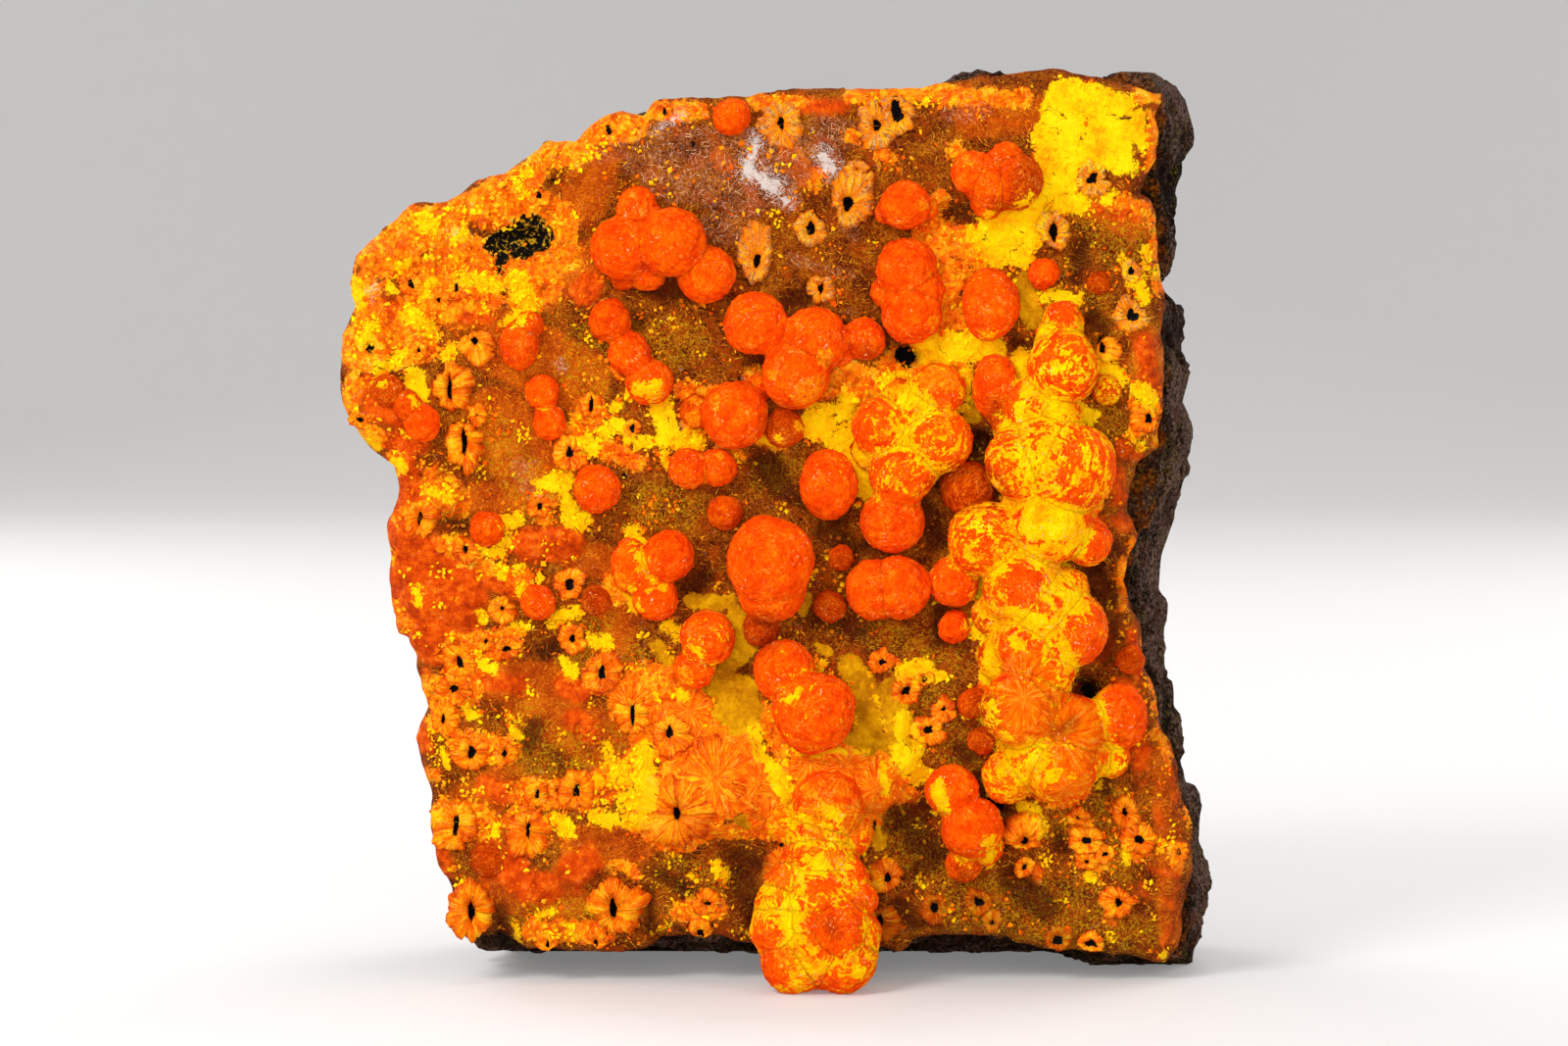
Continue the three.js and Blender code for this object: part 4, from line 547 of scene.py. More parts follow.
# Shaded hollows between spherules, where the crust sits deeper and shade is painted on it, its felt and its
# crumbs.
DARK = [
    (-6.6, 36.4, -4.8, 35.9, 0.7), (0.4, 35.5, 1.6, 35.8, 0.5), (3.3, 34.3, 3.2, 34.1, 0.35),
    (5.0, 34.3, 5.4, 33.2, 0.4), (-1.6, 32.3, -0.9, 32.4, 0.4), (8.8, 40.0, 9.6, 39.9, 0.5),
    (15.2, 36.9, 15.4, 38.4, 0.5), (15.9, 34.7, 16.4, 34.2, 0.55), (11.8, 33.6, 12.6, 33.0, 0.4),
    (-16.7, 24.3, -16.2, 24.1, 0.45), (-11.4, 17.9, -12.0, 17.6, 0.55), (-17.3, 26.7, -17.0, 26.8, 0.2),
    (-0.6, 27.2, 0.0, 26.0, 0.8), (0.6, 25.6, 3.0, 24.2, 0.4), (2.4, 23.6, 3.6, 22.8, 0.7),
    (-4.6, 20.8, -3.9, 21.4, 0.6), (1.3, 19.4, 4.2, 18.7, 0.55), (4.4, 23.0, 7.4, 24.4, 0.4),
    (-1.8, 17.2, -1.7, 16.5, 0.3), (9.4, 27.8, 10.5, 28.6, 0.6), (8.4, 26.6, 10.2, 26.2, 0.9),
    (7.4, 25.0, 8.0, 23.4, 0.7), (15.9, 21.5, 16.8, 20.4, 0.75), (16.7, 23.2, 17.3, 22.8, 0.35),
    (15.3, 15.7, 16.2, 15.0, 0.9), (16.6, 17.6, 17.0, 19.2, 0.6), (8.2, 19.8, 8.2, 18.3, 0.5),
    (-12.5, 13.8, -12.8, 12.9, 0.5), (-14.3, 4.3, -14.2, 3.0, 0.5), (-6.2, 6.2, -4.6, 5.4, 0.45),
    (-2.2, 7.0, -1.0, 6.8, 0.5), (-2.0, 6.0, -1.2, 4.0, 0.8), (6.0, 9.0, 7.2, 9.3, 0.8),
    (7.0, 8.0, 7.9, 7.3, 0.8), (4.3, 4.6, 5.2, 5.1, 0.3), (10.2, 11.2, 11.2, 9.6, 0.5),
    (16.5, 11.0, 17.0, 10.2, 0.55), (14.3, 8.2, 14.5, 7.6, 0.45), (9.3, 12.6, 9.8, 12.2, 0.5),
    (7.0, 13.4, 6.9, 14.4, 0.2), (-7.3, 34.6, -7.0, 34.4, 0.4), (6.2, 4.6, 6.9, 3.6, 0.5),
    (7.2, 6.4, 8.2, 7.2, 0.6), (-6.6, 5.4, -6.6, 3.2, 0.3), (12.0, 5.8, 13.6, 4.4, 0.8),
]
# Bare black rock, and black painted as shade in the holes.
BLACK = [
    (-14.4, 38.4, -13.3, 38.9, 0.6), (-12.7, 39.2, -12.2, 38.8, 0.8), (-14.0, 37.9, -14.2, 37.1, 0.32),
    (-13.3, 38.0, -12.8, 38.0, 0.35), (15.8, 15.5, 15.9, 15.0, 0.35), (11.0, 9.8, 11.3, 9.5, 0.25),
    (-7.9, 26.6, -7.8, 26.5, 0.12), (18.5, 41.1, 18.8, 41.0, 0.15), (16.4, 45.1, 17.2, 44.8, 0.05),
    (17.2, 44.8, 17.8, 44.8, 0.04), (10.4, 38.7, 10.5, 38.7, 0.12), (-4.4, 43.5, -4.4, 43.4, 0.1),
    (-11.6, 41.6, -11.4, 41.6, 0.1), (-12.3, 40.9, -12.2, 40.8, 0.1), (4.9, 8.9, 4.7, 8.5, 0.12),
    (0.1, 8.0, 0.1, 7.7, 0.05), (6.4, 32.75, 6.5, 32.6, 0.5), (18.0, 37.2, 18.0, 36.8, 0.06),
]
# Holes through the druse: x, height, half width, half height, depth.
HOLES = [(6.45, 32.65, 0.55, 0.45, 1.5), (-13.2, 38.6, 1.3, 0.6, 0.5), (15.8, 15.2, 0.7, 0.9, 1.2),
         (11.1, 9.6, 0.45, 0.6, 1.2), (10.2, 28.1, 0.7, 0.5, 0.9), (-11.6, 41.6, 0.3, 0.25, 0.4),
         (-15.8, 39.8, 0.3, 0.3, 0.4), (-20.8, 36.7, 0.25, 0.4, 0.35), (-17.3, 37.4, 0.2, 0.25, 0.3)]


# ---------- noise ----------
def lattice(i, j, k, seed):
    """A repeatable number from 0 to 1 for each whole-numbered place."""
    h = (i * 374761393 + j * 668265263 + k * 1440662683 + seed * 1274126177) & 0xFFFFFFFF
    h = ((h ^ (h >> 13)) * 1274126177) & 0xFFFFFFFF
    return (h ^ (h >> 16)) / 4294967295.0


def noise(points, size, seed):
    """Smooth noise from -1 to 1 whose lumps are about size mm across."""
    q = points / size
    base = np.floor(q).astype(np.int64)
    t = q - base
    t = t * t * (3 - 2 * t)
    total = np.zeros(len(points))
    for corner in np.ndindex(2, 2, 2):
        weight = np.ones(len(points))
        for axis in range(3):
            weight *= t[:, axis] if corner[axis] else 1 - t[:, axis]
        i, j, k = (base + corner).T
        total += weight * lattice(i, j, k, seed)
    return 2 * total - 1


def layers(points, sizes, seed):
    """Noise of several sizes added up, each as strong as given: [(size, strength), ...]."""
    return sum(strength * noise(points, size, seed + n) for n, (size, strength) in enumerate(sizes))


def grains(points, size, seed):
    """0 at the middle of a grain, growing to about 1 between grains size mm across."""
    q = points / size
    base = np.floor(q).astype(np.int64)
    best = np.full(len(points), np.inf)
    for near in np.ndindex(3, 3, 3):
        i, j, k = (base + near - 1).T
        centre = np.stack([lattice(i, j, k, seed + n) for n in range(3)], 1)
        centre += np.stack([i, j, k], 1)
        best = np.minimum(best, ((q - centre) ** 2).sum(1))
    return np.sqrt(best)


def lumps(points, size, seed):
    """Above 0 in the middle of a grain, below 0 between grains."""
    return GRAIN_LEVEL - grains(points, size, seed)


# ---------- the crust's fields ----------
def flat(x, z):
    """Places on the lists' plane, for noise that doesn't depend on y."""
    return np.stack([x, np.zeros_like(x), z], 1)


def relief(x, z):
    """How far the crust's face stands in front of y = 0."""
    height = np.zeros_like(x)
    for cx, cz, wide, tall, proud in SWELLS:
        height += proud * np.exp(-(((x - cx) / wide) ** 2 + ((z - cz) / tall) ** 2))
    return height


def inward(x, z):
    """Distance inside the crust's outline, below 0 outside it."""
    inside = np.zeros(x.shape, bool)
    nearest = np.full(x.shape, np.inf)
    for (ax, az), (bx, bz) in zip(CRUST_OUTLINE, CRUST_OUTLINE[1:] + CRUST_OUTLINE[:1]):
        dx, dz = bx - ax, bz - az
        t = np.clip(((x - ax) * dx + (z - az) * dz) / (dx * dx + dz * dz), 0, 1)
        nearest = np.minimum(nearest, (x - ax - t * dx) ** 2 + (z - az - t * dz) ** 2)
        if dz:
            inside ^= ((az > z) != (bz > z)) & (x < ax + (z - az) * dx / dz)
    return np.where(inside, 1, -1) * np.sqrt(nearest)


def painted(x, z, strokes):
    """1 well inside a zone's strokes, 0.5 on their edge, 0 outside."""
    depth = np.full(x.shape, -np.inf)
    for ax, az, bx, bz, reach in strokes:
        dx, dz = bx - ax, bz - az
        t = np.clip(((x - ax) * dx + (z - az) * dz) / max(dx * dx + dz * dz, 1e-9), 0, 1)
        depth = np.maximum(depth, reach - np.hypot(x - ax - t * dx, z - az - t * dz))
    return np.clip(0.5 + PAINT_SLOPE * depth, 0, 1)


GRID_X = np.arange(-23.0, 22.0, CELL)
GRID_Z = np.arange(0.7, 48.2, CELL)
SCATTER_X = (-22.5, 21.5)
SCATTER_Z = (1.5, 47.5)
MESH_X, MESH_Z = np.meshgrid(GRID_X, GRID_Z, indexing="ij")
ZONES = {
    "yellow": YELLOW, "shaded_powder": OLIVE, "amber": AMBER, "red": RED, "pale": PALE, "pink": PINK,
    "orange_felt": ORANGE_FELT, "dark": DARK, "black": BLACK, "dusty": DUSTY,
}


def mounds(x, z):
    """How far the mounds stand out of the crust's face."""
    height = np.zeros_like(x)
    for cx, cz, radius, proud in MOUNDS:
        height += proud * np.clip(1 - ((x - cx) ** 2 + (z - cz) ** 2) / radius ** 2, 0, 1) ** 0.7
    return height


def holes(x, z):
    """How deep the holes go into the crust's face."""
    depth = np.zeros_like(x)
    for cx, cz, wide, tall, deep in HOLES:
        share = np.clip(1.5 - np.hypot((x - cx) / wide, (z - cz) / tall), 0, 1)
        depth += deep * share ** 2 * (3 - 2 * share)
    return depth


def rosette_cores(x, z):
    """Each rosette's core in turn, as 1 inside it and 0 well outside."""
    twins = [rosette for more in TWINS.values() for rosette in more]
    for cx, cz, *_, core_x, core_z, core_wide, core_tall in [*ROSETTES.values(), *twins, *SMALL_ROSETTES]:
        off = np.hypot((x - cx - core_x) / core_wide, (z - cz - core_z) / core_tall)
        yield np.clip(2 - off, 0, 1)


def make_fields():
    """On the grid: the face's y, edge (how far inside the outline), each zone, and the druse's painted
    crease shade.
    """
    x, z = MESH_X.ravel(), MESH_Z.ravel()
    place = flat(x, z)
    fields = {name: painted(x, z, strokes) for name, strokes in ZONES.items()}
    edge = inward(x, z) + layers(place, OUTLINE_NOISE, seed=11)
    drop = RIM_DROP * (1 - np.clip(edge / RIM_WIDTH, 0, 1)) ** 2
    powder = np.maximum(fields["yellow"], fields["shaded_powder"])
    rough = layers(place, FACE_NOISE, seed=21) * (1 - 0.3 * np.maximum(powder, fields["red"]))
    chunky = np.maximum(fields["amber"], 0.5 * fields["yellow"])
    chunks = [lumps(place, size, seed=31) for size, _ in CHUNKS]
    lumpy = sum(height * chunk for chunk, (_, height) in zip(chunks, CHUNKS)) * chunky
    y = drop - relief(x, z) - rough - lumpy - POWDER * powder - mounds(x, z) + holes(x, z)
    y += 0.35 * fields["dark"] + 0.2 * fields["black"]
    for core in rosette_cores(x, z):
        y += 0.5 * core
        fields["black"] = np.maximum(fields["black"], core)
    # Painted shade in the creases between the druse's grains.
    pit = np.clip(-2.4 * (chunks[0] + chunks[1]) * chunky, 0, 1)
    fields.update(edge=edge, y=np.minimum(y, CRUST_BACK - 0.1), pit=pit)
    return {name: values.reshape(MESH_X.shape) for name, values in fields.items()}


FIELDS = make_fields()


def between(field, x, z):
    """The value that a grid of numbers has between its points."""
    u = np.clip((x - GRID_X[0]) / CELL, 0, len(GRID_X) - 1.001)
    v = np.clip((z - GRID_Z[0]) / CELL, 0, len(GRID_Z) - 1.001)
    i, j = u.astype(int), v.astype(int)
    s, t = u - i, v - j
    low = field[i, j] * (1 - s) + field[i + 1, j] * s
    high = field[i, j + 1] * (1 - s) + field[i + 1, j + 1] * s
    return low * (1 - t) + high * t


def sample(name, x, z):
    return between(FIELDS[name], x, z)


def slopes(name, x, z):
    """How fast a field grows along x and along z."""
    return [between(slope, x, z) for slope in np.gradient(FIELDS[name], CELL)]


def crust_normal(x, z):
    along_x, along_z = slopes("y", x, z)
    normal = np.stack([along_x, -np.ones_like(x), along_z], 1)
    return normal / np.linalg.norm(normal, axis=1)[:, None]


def on_crust(x, z):
    """Points on the crust's face."""
    return np.stack([x, sample("y", x, z), z], 1)


# ---------- meshes ----------
def to_frame(points):
    """From the lists' millimetres to the frame's metres, kept inside the CAD model's box."""
    real = points + [0, 0, DATUM]
    real = np.clip(real, LOW + EDGE_PLAY, HIGH - EDGE_PLAY)
    real[:, 2] = np.maximum(points[:, 2] + DATUM, LOW[2])
    real[:, 2] = np.minimum(real[:, 2], HIGH[2] - EDGE_PLAY)
    return (real + SHIFT) * MM


def to_lists(points):
    return points / MM - SHIFT - [0, 0, DATUM]


def add_object(name, data):
    made = bpy.data.objects.new(name, data)
    bpy.context.scene.collection.objects.link(made)
    return made


def make_piece(name, points, faces, attributes=(), smooth=True):
    """A new object from points in the lists' frame, with one value per point for each attribute."""
    mesh = bpy.data.meshes.new(name)
    mesh.from_pydata(to_frame(points).tolist(), [], faces)
    for key, values in dict(attributes).items():
        mesh.attributes.new(key, "FLOAT", "POINT").data.foreach_set("value", values.astype(np.float32))
    if smooth:
        mesh.shade_smooth()
    else:
        mesh.shade_flat()
    return add_object(name, mesh)


def read(items, key):
    """One vector for each of a mesh's vertices."""
    values = np.empty(len(items) * 3, np.float32)
    items.foreach_get(key, values)
    return values.reshape(-1, 3).astype(float)


def remeshed(name, source, voxel):
    """A copy of a mesh as one skin of even cells, voxel mm wide."""
    piece = add_object(name, source)
    remesh = piece.modifiers.new("remesh", "REMESH")
    remesh.mode = "VOXEL"
    remesh.voxel_size = voxel * MM
    skin = bpy.data.meshes.new_from_object(piece.evaluated_get(bpy.context.evaluated_depsgraph_get()))
    piece.modifiers.clear()
    piece.data = skin
    return piece


def set_points(mesh, points):
    mesh.vertices.foreach_set("co", points.astype(np.float32).ravel())
    mesh.update()


def set_attribute(mesh, key, values):
    found = mesh.attributes.get(key) or mesh.attributes.new(key, "FLOAT", "POINT")
    found.data.foreach_set("value", values.astype(np.float32))


def set_vector(mesh, key, values):
    made = mesh.attributes.new(key, "FLOAT_VECTOR", "POINT")
    made.data.foreach_set("vector", values.astype(np.float32).ravel())


def move_verts(verts, points):
    for vert, place in zip(verts, to_frame(points)):
        vert.co = place


def ring_faces(rows, steps):
    """Quads between rings of points that each have the same number of steps."""
    faces = []
    for a in range(0, (rows - 1) * steps, steps):
        for k in range(steps):
            after = (k + 1) % steps
            faces.append((a + k, a + steps + k, a + steps + after, a + after))
    return faces


def finish_piece(piece, material, slot, *nodes):
    piece.data.materials.clear()
    piece.data.materials.append(material)
    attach(piece, "root")
    if nodes:
        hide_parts(*nodes)


# ---------- the crust ----------
def crust_face():
    """The grid inside the outline, with the places on its rim moved onto the outline."""
    inside = FIELDS["edge"] > 0.35 * CELL
    quads = inside[:-1, :-1] & inside[1:, :-1] & inside[1:, 1:] & inside[:-1, 1:]
    uses = np.zeros(inside.shape, int)
    for i, j in ((0, 0), (1, 0), (1, 1), (0, 1)):
        uses[i:uses.shape[0] - 1 + i, j:uses.shape[1] - 1 + j] += quads
    kept = uses > 0
    index = np.full(inside.shape, -1)
    index[kept] = np.arange(kept.sum())
    i, j = np.nonzero(quads)
    faces = np.stack([index[i, j], index[i + 1, j], index[i + 1, j + 1], index[i, j + 1]], 1)
    x, z = MESH_X[kept], MESH_Z[kept]
    rim = uses[kept] < 4
    for _ in range(3):
        out_x, out_z = slopes("edge", x[rim], z[rim])
        off = np.clip(sample("edge", x[rim], z[rim]), -CELL, CELL)
        step = off / np.maximum(out_x ** 2 + out_z ** 2, 0.3)
        x[rim] -= step * out_x
        z[rim] -= step * out_z
    return x, z, faces.tolist()


def add_wall(mesh):
    """The crust's wall, from its rim back into the matrix, and a face that closes it."""
    bm = bmesh.new()
    bm.from_mesh(mesh)
    border = [e for e in bm.edges if e.is_boundary]
    for depth in np.linspace(WALL_TOP, CRUST_ROOT, WALL_ROWS):
        made = bmesh.ops.extrude_edge_only(bm, edges=border)["geom"]
        verts = [g for g in made if isinstance(g, bmesh.types.BMVert)]
        border = [g for g in made if isinstance(g, bmesh.types.BMEdge) and g.is_boundary]
        where = to_lists(np.array([v.co for v in verts]))
        push = 0.06 + layers(where + [0, depth, 0], WALL_NOISE, seed=41)
        out_x, out_z = slopes("edge", where[:, 0], where[:, 2])
        where += np.stack([out_x, np.zeros_like(out_x), out_z], 1) * push[:, None]
        where[:, 1] = depth * (1 + 0.35 * noise(where * [1, 0, 1], 1.5, seed=43))
        move_verts(verts, where)
    bmesh.ops.holes_fill(bm, edges=border, sides=0)
    bmesh.ops.recalc_face_normals(bm, faces=bm.faces)
    bm.to_mesh(mesh)
    bm.free()


def build_crust():
    x, z, faces = crust_face()
    fan, rays = ray_pattern(x, z)
    zones = {name: sample(name, x, z) for name in [*ZONES, "pit"]}
    piece = make_piece("crust_druse", on_crust(x, z), faces, {**zones, "fan": fan})
    set_vector(piece.data, "rays", rays)
    add_wall(piece.data)
    return piece


# ---------- the spherules ----------
RING_SEED = 5
RING_WIDTH = 0.34
APART = 9  # how far apart neighbouring balls or fans lie in their patterns' space


def ball_mesh(name, balls, floor=None):
    """Overlapping balls given as x, y, height in the lists' frame, radius, taller."""
    bm = bmesh.new()
    for x, y, z, radius, taller in balls:
        made = bmesh.ops.create_icosphere(bm, subdivisions=5, radius=1.0)["verts"]
        sphere = np.array([v.co for v in made])
        wobble = 1 + 0.035 * noise(sphere + [x, y, z], 0.9, seed=51)
        points = sphere * [radius, radius, radius * taller] * wobble[:, None] + [x, y, z]
        points[:, 1] = np.minimum(points[:, 1], sample("y", points[:, 0], points[:, 2]) + BALL_ROOT)
        if floor is not None:
            points[:, 2] = np.maximum(points[:, 2], floor)
        move_verts(made, points)
    mesh = bpy.data.meshes.new(name)
    bm.to_mesh(mesh)
    bm.free()
    return mesh


def ring_pattern(points, centres, nearest):
    """Places in a space where a ball's growth rings are flat layers, for streaky noise."""
    draw = np.random.default_rng(RING_SEED)
    poles = draw.normal(0, 0.45, (len(centres), 3)) + [0, -1, 0]
    poles /= np.linalg.norm(poles, axis=1)[:, None]
    out = points - centres[nearest]
    length = np.linalg.norm(out, axis=1)
    pole = poles[nearest]
    east = np.cross(pole, [0.0, 0.0, 1.0])
    east /= np.linalg.norm(east, axis=1)[:, None]
    north = np.cross(pole, east)
    along = (out * pole).sum(1)
    u, v = (out * east).sum(1), (out * north).sum(1)
    round_by = np.maximum(np.hypot(u, v), 1e-6)
    ring = np.arccos(np.clip(along / np.maximum(length, 1e-6), -1, 1)) * length
    return np.stack([1.5 * u / round_by, 1.5 * v / round_by, ring / RING_WIDTH + APART * nearest], 1)


def ray_pattern(x, z):
    """How far a place is in a fan, and where it is in a space where the fan's rays are long."""
    share, place = np.zeros_like(x), np.zeros((len(x), 3))
    for number, (cx, cz, radius) in enumerate(FANS):
        off = np.maximum(np.hypot(x - cx, z - cz), 1e-6)
        own = np.clip(0.5 + radius - off, 0, 1)
        best = own > share
        rays = np.stack([3 * (x - cx) / off, 3 * (z - cz) / off, 0.5 * off + APART * number], 1)
        place[best] = rays[best]
        share = np.maximum(share, own)
    return share, place


def eased(mesh, points, share, rounds):
    """Points drawn towards their neighbours' mean where share is high, which fills creases."""
    ends = np.empty(len(mesh.edges) * 2, np.int32)
    mesh.edges.foreach_get("vertices", ends)
    a, b = ends.reshape(-1, 2).T
    count = len(points)
    degree = np.bincount(ends, minlength=count)
    for _ in range(rounds):
        total = [np.bincount(a, points[b, axis], count) + np.bincount(b, points[a, axis], count)
                 for axis in range(3)]
        points = points + share[:, None] * (np.stack(total, 1) / degree[:, None] - points)
    return points


def ball_colours(points, facing, reach, sunk, valley, coating):
    """How much of each colour a cluster has at each point. Its sunken balls get painted shade."""
    x, y, z = points.T
    near = np.clip(1 - (sample("y", x, z) - y) / 0.8, 0, 1)
    streaky = (0.24 * valley - 0.35 * painted(x, z, RED)) * (coating > 0.15)
    own = np.exp((reach.min(axis=1, keepdims=True) - reach) / 0.12)
    own /= own.sum(axis=1)[:, None]
    return {
        "yellow": np.maximum(coating + streaky, painted(x, z, YELLOW) * facing),
        # Painted shade of the powder near the crust, at the balls' feet.
        "shaded_powder": sample("shaded_powder", x, z) * near * 1.3,
        "amber": np.maximum(painted(x, z, AMBER) * facing, sample("amber", x, z) * near),
        # Painted shade: sunken balls and the spherules under the DIM strokes are darkened.
        "painted_shade": np.maximum(own @ sunk, painted(x, z, DIM)),
    }


def build_balls(name, balls, coating, floor=None):
    """A cluster as one skin: creases filled, a nap of fine grains, and cut flat at a floor."""
    piece = remeshed(name, ball_mesh(name, balls, floor), BALL_VOXEL)
    mesh = piece.data
    points = to_lists(read(mesh.vertices, "co"))
    centres, radii = np.array([b[:3] for b in balls]), np.array([b[3] for b in balls])
    reach = np.stack([np.linalg.norm(points - c, axis=1) / r for c, r in zip(centres, radii)], 1)
    order = np.sort(reach, axis=1)
    valley = np.clip(1 - (order[:, 1] - order[:, 0]) / 0.3, 0, 1) if len(balls) > 1 else 0 * order[:, 0]
    rounds = 8 if coating < 0.3 else 30 if floor is None else 60
    points = eased(mesh, points, 0.9 * valley ** 0.5, rounds)
    set_points(mesh, to_frame(points))
    normals = read(mesh.vertices, "normal")
    grain = lumps(points, 0.27, seed=71)
    bump = layers(points, BALL_NOISE, seed=61) + 0.13 * grain
    sole = np.zeros(len(points)) if floor is None else (points[:, 2] < floor + 0.05)
    points += normals * (bump * (1 - sole))[:, None]
    set_points(mesh, to_frame(points))
    facing = np.clip(1.2 * -normals[:, 1], 0, 1)
    stand = (sample("y", centres[:, 0], centres[:, 2]) - centres[:, 1]) / radii
    # How far each ball is sunk into the crust sets its painted shade.
    sunk = np.clip(1 - stand / 0.35, 0, 1) if floor is None else 0 * stand
    colours = ball_colours(points, facing, reach, sunk, valley, coating)
    fan, rays = ray_pattern(points[:, 0], points[:, 2])
    for key, value in {**colours, "grain": grain, "fan": fan * facing * (coating > 0.3)}.items():
        set_attribute(mesh, key, value)
    set_vector(mesh, "rings", ring_pattern(points, centres, np.argmin(reach, axis=1)))
    set_vector(mesh, "rays", rays)
    mesh.shade_smooth()
    return piece


def stood(balls):
    """Balls on the crust, with y worked out from how far each stands proud."""
    placed = []
    for x, z, radius, stand, *taller in balls:
        y = -float(relief(np.array([x]), np.array([z]))[0]) - stand * radius
        placed.append((x, y, z, radius, taller[0] if taller else 1.0))
    return placed


# ---------- the rosettes ----------
# A rosette's section: share of its core's radius, then of its own, and share of its thickness.
CORE_SECTION = [(0.55, -0.3), (0.95, 0.3)]
ROSETTE_SECTION = [(0.2, 0.66), (0.3, 0.82), (0.42, 0.93), (0.55, 1.0), (0.68, 0.99), (0.8, 0.88),
                   (0.91, 0.66), (1.0, 0.28), (1.02, -0.2), (0.95, -0.9)]
CORE_SHARE = 0.15  # of the radius, where the section starts
ROSETTE_SEED = 900


def uneven(draw, count, turn):
    """Blades of uneven widths round a circle: each place's blade, and how near its middle it is."""
    ends = np.cumsum(draw.uniform(0.4, 1.6, count))
    ends /= ends[-1]
    starts = np.concatenate([[0], ends[:-1]])
    blade = np.minimum(np.searchsorted(ends, turn, side="right"), count - 1)
    within = np.clip((turn - starts[blade]) / (ends - starts)[blade], 0, 1)
    return blade, np.sin(math.pi * within) ** 0.7


def blades(draw, count, turn):
    """Uneven blades in uneven bunches: reach, lift, shade, and how near a blade's middle."""
    blade, ridge = uneven(draw, count, turn)
    bunch, _ = uneven(draw, max(4, count // 4), turn)
    reach = draw.uniform(0.92, 1.06, count)[blade] * draw.uniform(0.76, 1.1, count)[bunch]
    lift = draw.uniform(-0.07, 0.07, count)[blade] + draw.uniform(-0.2, 0.16, count)[bunch]
    shade = 0.5 * draw.random(count)[blade] + 0.5 * draw.random(count)[bunch]
    return reach, lift, shade, ridge


def rosette_points(number, x, z, wide, tall, thick, core_x, core_z, core_wide, core_tall):
    """Rings from the floor of the hollow core out over the blades and down to the crust."""
    steps = int(np.clip(30 * (wide + tall), 44, 110))
    turn = np.linspace(0, 1, steps, endpoint=False)
    draw = np.random.default_rng(ROSETTE_SEED + number)
    reach, lift, shade, ridge = blades(draw, max(9, int(7 * (wide + tall))), turn)
    off = np.stack([np.cos(2 * math.pi * turn), np.sin(2 * math.pi * turn)], 1)
    around = np.column_stack([off * 1.4, np.full(steps, number * 3.7)])
    wobble, fray = noise(around, 1.0, seed=83), noise(around, 0.3, seed=85)
    centre = np.array([x + core_x, z + core_z])
    inner = centre + off * [core_wide, core_tall] * (1 + 0.5 * wobble + 0.25 * fray)[:, None]
    rim = (reach + 0.02 * ridge) * (1 + 0.16 * wobble + 0.14 * fray)
    outer = np.array([x, z]) + off * [wide, tall] * rim[:, None]
    rings = [centre + (inner - centre) * share for share, _ in CORE_SECTION]
    rises = [np.full(steps, height * thick) for _, height in CORE_SECTION]
    for share, height in ROSETTE_SECTION:
        rings.append(inner + (outer - inner) * ((share - CORE_SHARE) / (1 - CORE_SHARE)))
        rises.append(thick * (height + (0.06 * ridge - 0.04 + 0.8 * lift) * share))
    ring_x, ring_z = np.array(rings).reshape(-1, 2).T
    swell = relief(ring_x, ring_z)
    ground = 0.5 * np.minimum(sample("y", ring_x, ring_z), 0.1 - swell) - 0.5 * swell
    points = np.stack([ring_x, ground - np.array(rises).ravel(), ring_z], 1)
    points[:, 1] += 0.12 * thick
    rows = len(rings)
    cores = [1.0] * len(CORE_SECTION) + [0.0] * len(ROSETTE_SECTION)
    along = [0.0] * len(CORE_SECTION) + [share for share, _ in ROSETTE_SECTION]
    points[:, 1] -= layers(points, ROSETTE_NOISE, seed=81) * (np.repeat(along, steps) > 0)
    points[:, 0] += 0.05 * noise(points, 0.25, seed=87)
    points[:, 2] += 0.05 * noise(points, 0.25, seed=88)
    lids = [tuple(range(steps)), tuple(reversed(range((rows - 1) * steps, rows * steps)))]
    # Rosettes low on the right get painted shade, darker towards the bottom.
    near_top, near_foot = x > -3 and z > 34, 3 < x < 16 and z < 5
    whole = {"number": number, "wide": wide + tall, "pale": 1.0 if near_top else 0.1,
             "shade": 0.5 if near_foot else 0.0}
    attributes = {
        "core": np.repeat(cores, steps), "along": np.repeat(along, steps),
        "turn": np.tile(turn, rows), "blade": np.tile(shade, rows),
        "yellow": sample("yellow", ring_x, ring_z),
        **{key: np.full(len(points), float(value)) for key, value in whole.items()},
    }
    return points, ring_faces(rows, steps) + lids, attributes


def build_rosettes(name, rosettes, first):
    """Rosettes joined in one mesh. first is the number of the first, which seeds it."""
    points, faces, attributes, start = [], [], {}, 0
    for n, rosette in enumerate(rosettes):
        own_points, own_faces, own = rosette_points(first + n, *rosette)
        points.append(own_points)
        faces += [tuple(start + v for v in face) for face in own_faces]
        start += len(own_points)
        for key, values in own.items():
            attributes.setdefault(key, []).append(values)
    return make_piece(name, np.concatenate(points), faces,
                      {key: np.concatenate(values) for key, values in attributes.items()})


